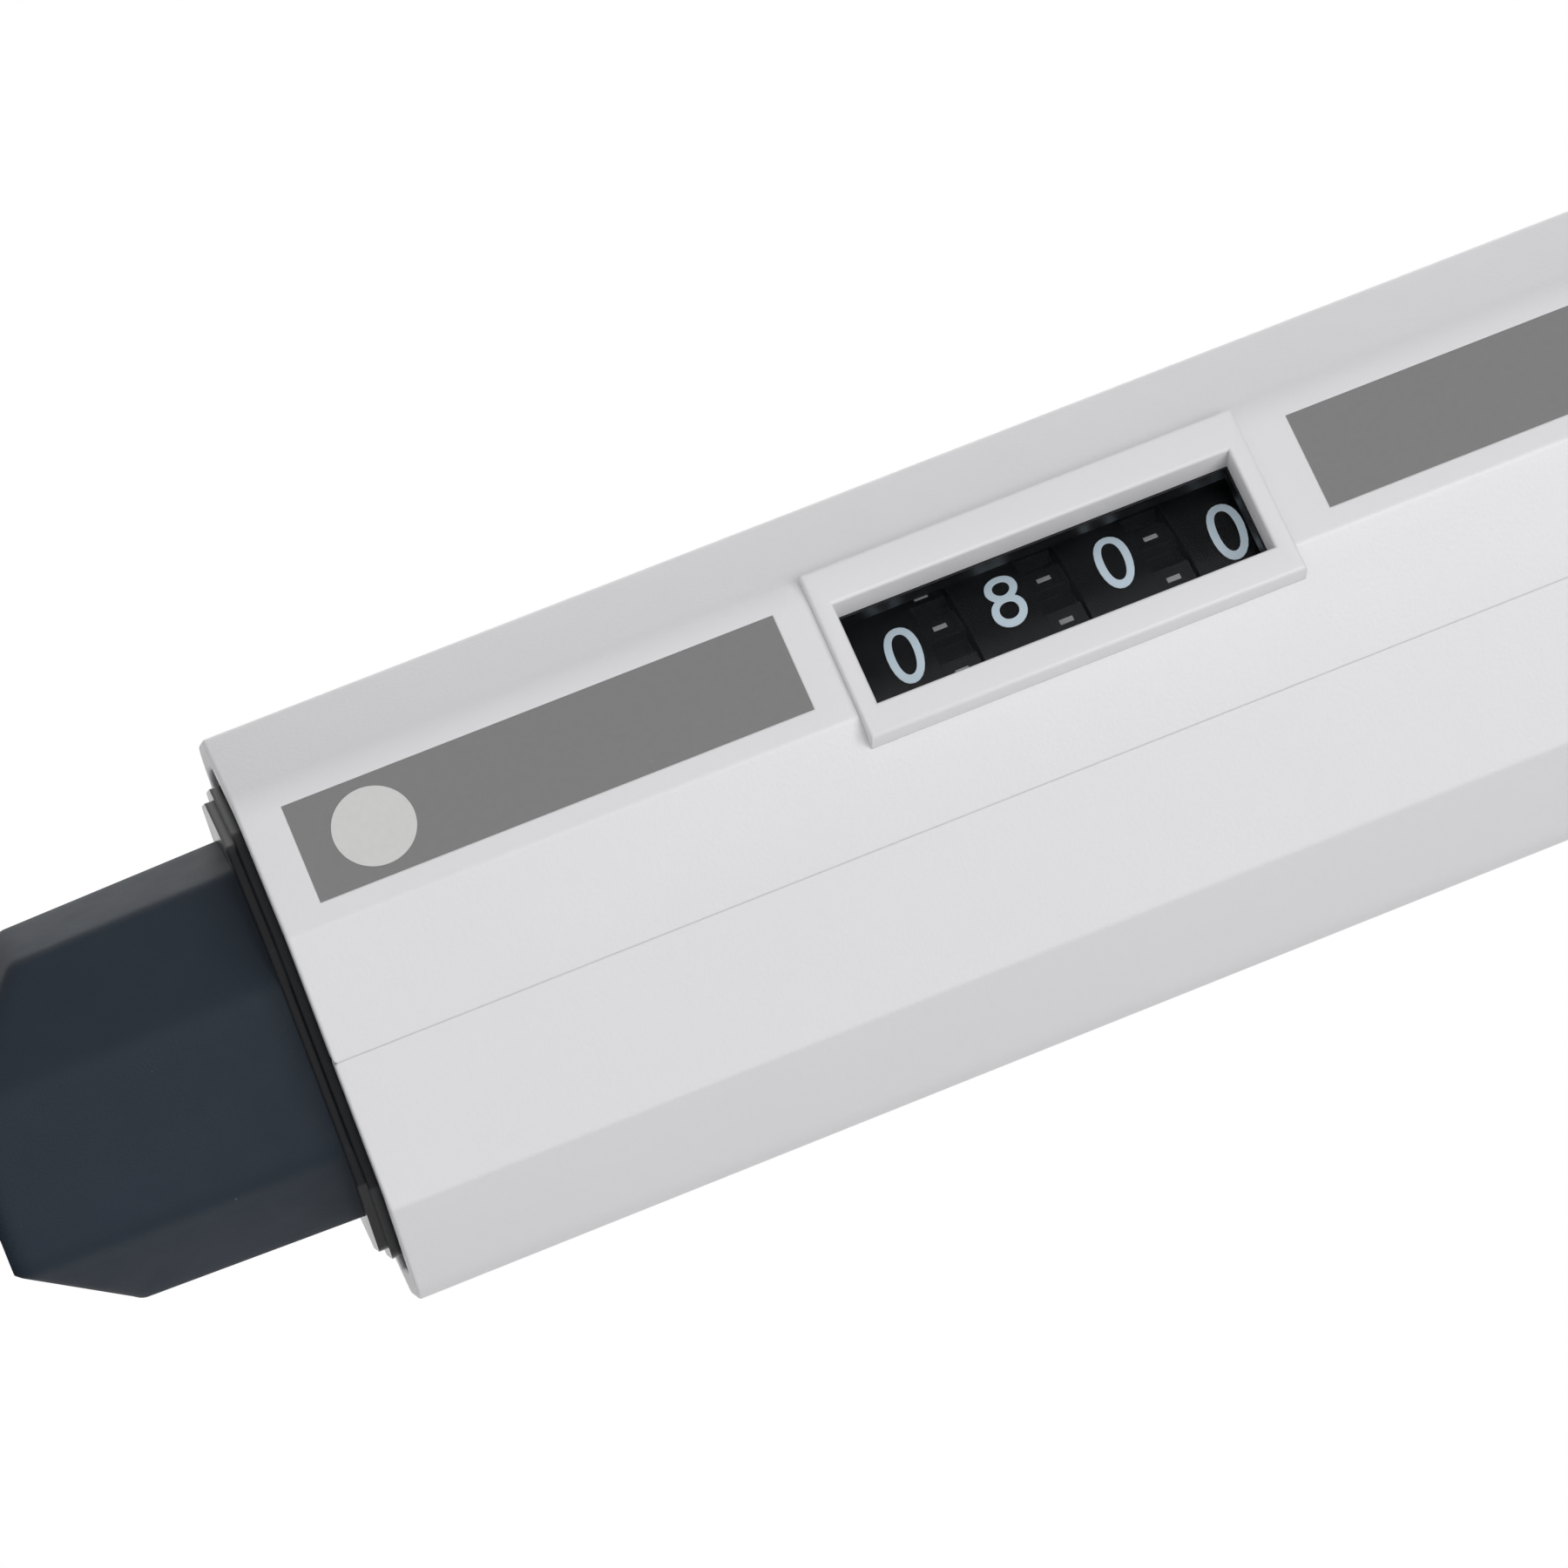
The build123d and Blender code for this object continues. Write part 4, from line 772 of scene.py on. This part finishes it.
# ---------------- counter
@dataclass
class Counter(Assembly):
    """The four digit wheels and their figures; angles are in degrees."""

    figure_height: float = 4.0 * MM
    figure_width: float = 2.2 * MM
    figure_rise: float = 2.45 * MM
    figure_lean: float = 0.09
    figure_thick: float = 0.035 * MM
    longest_edge: float = 0.3 * MM
    reading_angle: float = 54.2
    figures_per_wheel: int = 10
    # the next four fields place the painted highlights on the tooth tips
    tips_per_wheel: int = 20
    tip_size: tuple[float, float, float] = (0.06 * MM, 0.30 * MM, 0.75 * MM)
    tip_sunk: float = 0.04 * MM
    tip_below_rim: float = 1.1 * MM
    drift: dict[str, float] = field(default_factory=lambda: {
        "thousands": 1.0, "hundreds": 6.6, "tens": 5.2, "units": 0.0})
    tooth_turn: dict[str, float] = field(default_factory=lambda: {
        "thousands": 6.0, "hundreds": 9.0, "tens": 9.0, "units": 9.0})
    shown: dict[str, int] = field(default_factory=lambda: {
        "thousands": 0, "hundreds": 8, "tens": 0, "units": 0})
    finishes: dict[str, Finish] = field(default_factory=lambda: {
        **{f"wheel_{name}": Finish.COUNTER for name in ("thousands", "hundreds", "tens", "units")},
        "drive_sleeve": Finish.COUNTER, "counter_frame": Finish.FRAME, "pinion_shaft": Finish.STEEL,
        **{f"carry_pinion_{index}": Finish.FRAME for index in (1, 2, 3)}})

    def build(self, nodes: dict[str, bpy.types.Object]) -> None:
        """Print the figures on each wheel and turn its teeth to where they stand."""
        for wheel, shown in self.shown.items():
            place_piece(self.print_wheel(wheel, shown), wheel, "label_grey")
            turn = Matrix.Rotation(math.radians(-self.tooth_turn[wheel]), 4, "Z")
            # painted highlights on the tooth tips, turned with the teeth
            tips = self.tooth_tips(wheel)
            tips.data.transform(turn)
            place_piece(tips, wheel, "counter_black")
            ring = closed(opened(nodes["wheel_" + wheel]), "wheel_" + wheel + "_turned")
            ring.data.transform(turn)
            place_piece(paint(smooth(ring), Finish.COUNTER), wheel, "counter_black", "wheel_" + wheel)

    def tooth_tips(self, wheel: str) -> bpy.types.Object:
        """Small pale patches on the tips of a wheel's teeth: a painted highlight for the light that the tips
        catch.
        """
        low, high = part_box("wheel_" + wheel)
        numbers = {"Radius": (high.x - low.x) / 2 - self.tip_sunk, "Level": high.z - self.tip_below_rim,
                   **dict(zip(("Depth", "Width", "Height"), self.tip_size))}
        tree = GeometryTree("tooth_tips_" + wheel, numbers, {"Count": self.tips_per_wheel})
        tree.ring_of_blocks(Finish.TIP)
        return tree.apply("tooth_tips_" + wheel)

    def label(self, wheel: str, index: int) -> str:
        """The figure at a place on a wheel; the units wheel steps by five."""
        return str(index * 5 % 10) if wheel == "units" else str(index)

    def print_wheel(self, wheel: str, shown: int) -> bpy.types.Object:
        """Wrap ten figures round a wheel.

        Args:
            wheel: the body's name.
            shown: the place on the wheel that the window shows.

        Returns:
            One mesh with the wheel's figures.
        """
        low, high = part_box("wheel_" + wheel)
        radius = (high.x - low.x) / 2
        step = 360.0 / self.figures_per_wheel

        def draw(shape: bmesh.types.BMesh) -> None:
            """All figures of the wheel."""
            for index in range(self.figures_per_wheel):
                angle = math.radians(self.reading_angle + self.drift[wheel] + step * (index - shown))
                outline = figure_outline(self.label(wheel, index), self.figure_width, self.figure_height)
                self.wrap(shape, outline, radius, angle, low.z + self.figure_rise)

        return paint(build_mesh("figures_" + wheel, draw), Finish.FIGURES)

    def wrap(self, shape: bmesh.types.BMesh, outline: bpy.types.Mesh, radius: float, angle: float,
             level: float) -> None:
        """Bend one flat figure round a wheel and thicken it.

        Args:
            shape: the bmesh to add to.
            outline: the flat figure, centred.
            radius: the wheel's radius.
            angle: where the figure's middle is, from the front towards the left.
            level: the height of the figure's middle.
        """
        flat = bmesh.new()
        flat.from_mesh(outline)
        bmesh.ops.triangulate(flat, faces=flat.faces)
        long_edges = [edge for edge in flat.edges if edge.calc_length() > self.longest_edge]
        bmesh.ops.subdivide_edges(flat, edges=long_edges, cuts=2)
        pushed = bmesh.ops.extrude_face_region(flat, geom=list(flat.faces))
        for vertex in (v for v in pushed["geom"] if isinstance(v, bmesh.types.BMVert)):
            vertex.co.z += self.figure_thick
        for vertex in flat.verts:
            turn = angle + vertex.co.y / radius
            reach = radius + vertex.co.z
            height = level + vertex.co.x + self.figure_lean * vertex.co.y
            vertex.co = (-reach * math.sin(turn), -reach * math.cos(turn), height)
        mesh = bpy.data.meshes.new("figure")
        flat.to_mesh(mesh)
        flat.free()
        shape.from_mesh(mesh)
        bpy.data.meshes.remove(mesh)


def figure_outline(text: str, width: float, height: float) -> bpy.types.Mesh:
    """A flat figure as a filled mesh, centred on the origin.

    Args:
        text: one plain figure.
        width: how wide the figure 0 is.
        height: how tall it is.

    Returns:
        The mesh.
    """
    curve = bpy.data.curves.new("figure", "FONT")
    curve.body = text
    curve.size = 1.0
    curve.resolution_u = 6
    curve.fill_mode = "FRONT"
    holder = scene_object("figure", curve)
    graph = bpy.context.evaluated_depsgraph_get()
    mesh = bpy.data.meshes.new_from_object(holder.evaluated_get(graph))
    bpy.data.objects.remove(holder)
    xs = [v.co.x for v in mesh.vertices]
    ys = [v.co.y for v in mesh.vertices]
    across = height / (max(ys) - min(ys))
    along = width / FONT_ZERO_WIDTH
    middle = Vector(((max(xs) + min(xs)) / 2, (max(ys) + min(ys)) / 2, 0))
    for vertex in mesh.vertices:
        vertex.co = Vector(((vertex.co.x - middle.x) * along, (vertex.co.y - middle.y) * across, 0))
    return mesh


# ---------------- plunger and ejector
@dataclass
class Controls(Assembly):
    """The push button with its grip, and the ejector's thumb pad."""

    rib_count: int = 44
    rib_width: float = 0.5 * MM
    rib_depth: float = 0.5 * MM
    rib_margin: float = 2.4 * MM
    pad_ribs: int = 5
    pad_margins: tuple[float, float] = (2.6 * MM, 3.2 * MM)
    pad_rib_radius: float = 0.35 * MM
    pad_rib_sunk: float = 0.05 * MM
    finishes: dict[str, Finish] = field(default_factory=lambda: {
        "push_button": Finish.BUTTON, "button_cap": Finish.CAP, "plunger_sleeve": Finish.COMB,
        "spindle_rod": Finish.STEEL, "rod_foot": Finish.STEEL, "volume_nut": Finish.BRASS,
        "stop_plate": Finish.STEEL, "blow_out_spring": Finish.STEEL, "ejector_button": Finish.BUTTON,
        "ejector_rod": Finish.STEEL, "ejector_yoke": Finish.FRAME, "ejector_tube": Finish.STEEL,
        "ejector_spring": Finish.STEEL})

    def build(self) -> None:
        """Add the grip ribs of the button and of the pad."""
        place_piece(self.button_ribs(), "knob", "button_navy")
        place_piece(self.pad_grip(), "ejector", "button_navy")

    def button_ribs(self) -> bpy.types.Object:
        """Upright ribs round the button."""
        low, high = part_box("push_button")
        numbers = {"Radius": (high.x - low.x) / 2, "Level": (low.z + high.z) / 2, "Width": self.rib_width,
                   "Height": high.z - low.z - self.rib_margin, "Depth": self.rib_depth}
        tree = GeometryTree("button_grip", numbers, {"Count": self.rib_count})
        tree.ring_of_blocks(Finish.BUTTON)
        return tree.apply("button_ribs")

    def pad_grip(self) -> bpy.types.Object:
        """Low ribs across the top of the thumb pad."""
        low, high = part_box("ejector_button")
        numbers = {"Length": high.x - low.x - self.pad_margins[0], "Radius": self.pad_rib_radius,
                   "Spread": high.y - low.y - self.pad_margins[1]}
        tree = GeometryTree("pad_grip", numbers, {"Count": self.pad_ribs})
        ends = [tree.graph.vector(0.0, tree.port("Spread") * side) for side in (-0.5, 0.5)]
        bar = tree.graph.add("GeometryNodeMeshCylinder", inputs={
            "Vertices": 16, "Radius": tree.port("Radius"), "Depth": tree.port("Length")})
        tree.end(tree.row(ends, bar, (0.0, math.pi / 2, 0.0)), Finish.BUTTON)
        grip = tree.apply("ejector_pad_ribs")
        middle = (low + high) / 2
        grip.data.transform(Matrix.Translation((middle.x, middle.y, high.z - self.pad_rib_sunk)))
        return smooth(grip)


# ---------------- screws
@dataclass(frozen=True)
class Screws:
    """Six-sided sockets sunk in the plain screw heads of a node."""

    node: str
    body: str
    sunk: float = 0.0
    socket_share: float = 0.46
    socket_depth: float = 0.6 * MM
    head_share: float = 0.9

    def build(self, nodes: dict[str, bpy.types.Object]) -> None:
        """Draw the node again with a socket in every head."""
        shape = opened(nodes[self.node], flatten=True)
        for vertex in shape.verts:
            vertex.co.x -= self.sunk
        for face in self.head_faces(shape):
            self.sink(shape, face)
        piece = paint(smooth(closed(shape, self.node + "_sockets")), Finish.STEEL)
        place_piece(piece, self.body, "steel", self.node)

    def head_faces(self, shape: bmesh.types.BMesh) -> list[bmesh.types.BMFace]:
        """The outward end of every head: the largest flat faces, which look away from the axis."""
        largest = max(face.calc_area() for face in shape.faces)
        return [face for face in shape.faces if face.calc_area() > self.head_share * largest
                and face.normal.dot(face.calc_center_median().xyz * Vector((1, 1, 0))) > 0]

    def sink(self, shape: bmesh.types.BMesh, face: bmesh.types.BMFace) -> None:
        """Sink a six-sided socket in the end of a head."""
        centre, out = face.calc_center_median(), face.normal.copy()
        radius = (face.verts[0].co - centre).length
        bmesh.ops.inset_region(shape, faces=[face], thickness=radius * (1 - self.socket_share))
        side = out.orthogonal().normalized()
        for vertex in face.verts:
            arm = vertex.co - centre
            turn = math.atan2(arm.dot(out.cross(side)), arm.dot(side)) % (math.pi / 3) - math.pi / 6
            vertex.co = centre + arm * math.cos(math.pi / 6) / math.cos(turn)
        bmesh.ops.inset_region(shape, faces=[face], thickness=0.0, depth=-self.socket_depth)


# ---------------- springs
@dataclass(frozen=True)
class Spring:
    """A coil spring that a joint presses; the copy keeps its length."""

    node: str
    body: str
    joint: str

    def build(self, nodes: dict[str, bpy.types.Object], joints: Iterable[dict[str, object]]) -> None:
        """Copy the spring and smooth its wire."""
        piece = paint(smooth(closed(opened(nodes[self.node]), self.node + "_coils"), 50.0), Finish.STEEL)
        place_piece(piece, self.body, "spring_steel", self.node)
        low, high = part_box(self.node)
        travel = next(joint["range_m"][1] for joint in joints if joint["name"] == self.joint)
        1 - travel / (high.z - low.z)
        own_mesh(piece)


# ---------------- head
@dataclass
class Head(Assembly):
    """The swivelling tip head."""

    finishes: dict[str, Finish] = field(default_factory=lambda: {
        "manifold_front": Finish.HEAD, "manifold_rear": Finish.HEAD,
        "base_plate": Finish.FRAME, "cylinder_block": Finish.CONE, "guide_posts": Finish.STEEL,
        "return_springs": Finish.STEEL, "cone_rings": Finish.SEAL, "piston_seals": Finish.SEAL,
        "swivel_collar": Finish.PLUG, "pistons": Finish.STEEL, "piston_plate": Finish.FRAME,
        "coupling_cap": Finish.BRASS, "ejector_crossbar": Finish.FRAME, "ejector_arms": Finish.COMB,
        "ejector_comb": Finish.COMB, **{f"tip_cone_{index}": Finish.CONE for index in range(1, 9)}})

    mark_width: float = 0.7 * MM
    mark_height: float = 6.0 * MM
    mark_depth: float = 0.04 * MM
    mark_foot: float = 3 * MM
    marks: int = 8

    def build(self) -> None:
        """Add the marks that the model leaves out."""
        for cover in ("manifold_front", "manifold_rear"):
            place_piece(self.channel_marks(cover), "head", "cap_grey")

    def channel_marks(self, cover: str) -> bpy.types.Object:
        """One thin upright mark over every channel, along the foot of a cover."""
        low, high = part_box(cover)
        first, last = (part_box(f"tip_cone_{index}") for index in (1, self.marks))
        starts = [(pair[0].x + pair[1].x) / 2 for pair in (first, last)]
        face = low.y if abs(low.y) > abs(high.y) else high.y
        numbers = {"First": starts[0], "Last": starts[1], "Face": face, "Width": self.mark_width,
                   "Depth": self.mark_depth, "Height": self.mark_height,
                   "Level": low.z + self.mark_height / 2 + self.mark_foot}
        tree = GeometryTree("marks_" + cover, numbers, {"Count": self.marks})
        ends = [tree.graph.vector(*map(tree.port, (end, "Face", "Level"))) for end in ("First", "Last")]
        tree.end(tree.row(ends, tree.block("Width", "Depth", "Height")), Finish.CAP)
        return tree.apply("marks_" + cover)


# ---------------- studio
@dataclass(frozen=True)
class Lamp:
    """A soft square lamp, placed to the right of, above and in front of its target."""

    name: str
    place: tuple[float, float, float]
    size: float
    power: float

    def build(self, target: Vector, axes: Sequence[Vector]) -> None:
        """Add the lamp, pointed at a target.

        Args:
            target: the point that it lights.
            axes: the camera's right, up and outward directions.
        """
        right, up, out = (axis * reach for axis, reach in zip(axes, self.place))
        arm = out + up + right
        light = bpy.data.lights.new(self.name, "AREA")
        light.size = self.size
        light.energy = self.power
        holder = scene_object(self.name, light)
        holder.location = target + arm
        holder.rotation_euler = (-arm).to_track_quat("-Z", "Y").to_euler()


@dataclass
class Studio:
    """Floor, backdrop, lamps and camera; angles are in degrees, lens and sensor in millimetres."""

    azimuth: float = 15.2
    dip: float = 6.8
    distance: float = 0.345
    lens: float = 149.0
    sensor: float = 36.0
    tilt: float = 21.45
    above_mouth: float = 28.1 * MM
    aside: float = -2.45 * MM
    floor_drop: float = 30 * MM
    floor_half: float = 1.0
    floor_fade: tuple[float, float] = (0.12, 0.45)
    room_light: float = 0.34
    lamps: tuple[Lamp, ...] = (Lamp("key", (0.50, 0.03, 0.82), 0.55, 4.85),
                               Lamp("top", (-0.1, 0.85, 0.25), 0.7, 0.35),
                               Lamp("rear", (0.0, 0.6, -0.6), 0.8, 1.6))

    def build(self) -> None:
        """Set up the room."""
        target = self.target()
        self.camera(target)
        self.world()
        self.floor()
        for lamp in self.lamps:
            lamp.build(target, self.axes())

    @property
    def view(self) -> Vector:
        """The direction from the object to the camera."""
        turn, dip = math.radians(self.azimuth), math.radians(self.dip)
        return Vector((-math.sin(turn) * math.cos(dip), -math.cos(turn) * math.cos(dip), -math.sin(dip)))

    def target(self) -> Vector:
        """The point on the handle that the camera looks at."""
        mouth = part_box("casing_left")[0].z
        side = Vector((-self.view.y, self.view.x, 0)).normalized()
        return side * self.aside + Vector((0, 0, mouth + self.above_mouth))

    def axes(self) -> tuple[Vector, Vector, Vector]:
        """The camera's right, up and outward directions."""
        upright = Vector((0, 0, 1))
        along = (upright - self.view * upright.dot(self.view)).normalized()
        right = Matrix.Rotation(-math.radians(self.tilt), 3, self.view) @ along
        return right, self.view.cross(right), self.view

    def camera(self, target: Vector) -> None:
        """Add the camera."""
        data = bpy.data.cameras.new("camera")
        data.lens = self.lens
        data.sensor_width = self.sensor
        data.clip_start = 0.01
        camera = scene_object("camera", data)
        turn = Matrix(self.axes()).transposed().to_4x4()
        camera.matrix_world = Matrix.Translation(target + self.view * self.distance) @ turn
        bpy.context.scene.camera = camera

    def world(self) -> None:
        """A pale room that shows as white behind the object."""
        world = bpy.data.worlds.new("room")
        world.use_nodes = True
        world.node_tree.nodes.clear()
        graph = Graph(world.node_tree)
        seen = self.seen(graph)
        plain, white = (graph.add("ShaderNodeBackground", inputs={"Color": WHITE, "Strength": strength})
                        for strength in (self.room_light, 1.0))
        both = graph.add("ShaderNodeMixShader", inputs={0: seen, 1: plain, 2: white})
        graph.add("ShaderNodeOutputWorld", inputs={"Surface": both})
        bpy.context.scene.world = world

    def seen(self, graph: Graph) -> Port:
        """One for rays that show the room itself, straight, mirrored or through glass, else nought."""
        rays = [graph.add("ShaderNodeLightPath", out=f"Is {kind} Ray")
                for kind in ("Camera", "Glossy", "Transmission")]
        return (rays[0] + rays[1] + rays[2]) > 0.5

    def floor(self) -> None:
        """A wide pale floor under the tips."""
        low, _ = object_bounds()

        def draw(shape: bmesh.types.BMesh) -> None:
            """One large square."""
            level = Matrix.Translation((0, 0, low[2] - self.floor_drop))
            bmesh.ops.create_grid(shape, x_segments=2, y_segments=2, size=self.floor_half, matrix=level)

        floor = build_mesh("floor", draw)
        material, graph, place = new_material("floor_pale")
        tone = graph.noise(place, 0.4, 2.0)
        matt = graph.add("ShaderNodeBsdfPrincipled", inputs={
            "Base Color": graph.mix(tone, grey(0.86), grey(0.9)), "Roughness": 0.8})
        white = graph.add("ShaderNodeEmission", inputs={"Color": WHITE, "Strength": 1.0})
        reach = graph.add("ShaderNodeVectorMath", {"operation": "LENGTH"}, {0: place}, out="Value")
        away = graph.add("ShaderNodeMapRange", {"interpolation_type": "SMOOTHSTEP"}, {
            "Value": reach, "From Min": self.floor_fade[0], "From Max": self.floor_fade[1],
            "To Min": 0.0, "To Max": 1.0})
        both = graph.add("ShaderNodeMixShader", inputs={0: away * self.seen(graph), 1: matt, 2: white})
        graph.add("ShaderNodeOutputMaterial", inputs={"Surface": both})
        floor.data.materials.append(material)
        floor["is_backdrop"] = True


def set_colour_management() -> None:
    """Show colours as they are written."""
    bpy.context.scene.view_settings.view_transform = "Standard"


def main() -> None:
    """Load the model, dress it, add the detail pieces and set up the studio."""
    logging.basicConfig(level=logging.INFO, format="%(name)s: %(message)s")
    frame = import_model()
    nodes = frame["nodes"]
    set_colour_management()
    handle, counter, controls, head = Handle(), Counter(), Controls(), Head()
    for assembly in (handle, counter, controls, head):
        assembly.dress(nodes)
    facet = Facet.of(nodes["label_plate_lower"])
    handle.build(facet)
    handle.shells(facet)
    handle.neck(nodes["neck_housing"])
    counter.build(nodes)
    controls.build()
    head.build()
    for screws in (Screws("casing_screws", "handle", sunk=0.9 * MM), Screws("manifold_screws", "head")):
        screws.build(nodes)
    for spring in (Spring("return_springs", "head", "plunger_press"),
                   Spring("blow_out_spring", "handle", "blow_out_press"),
                   Spring("ejector_spring", "handle", "ejector_press")):
        spring.build(nodes, frame["joints"])
    Studio().build()


if __name__ == "__main__":
    main()
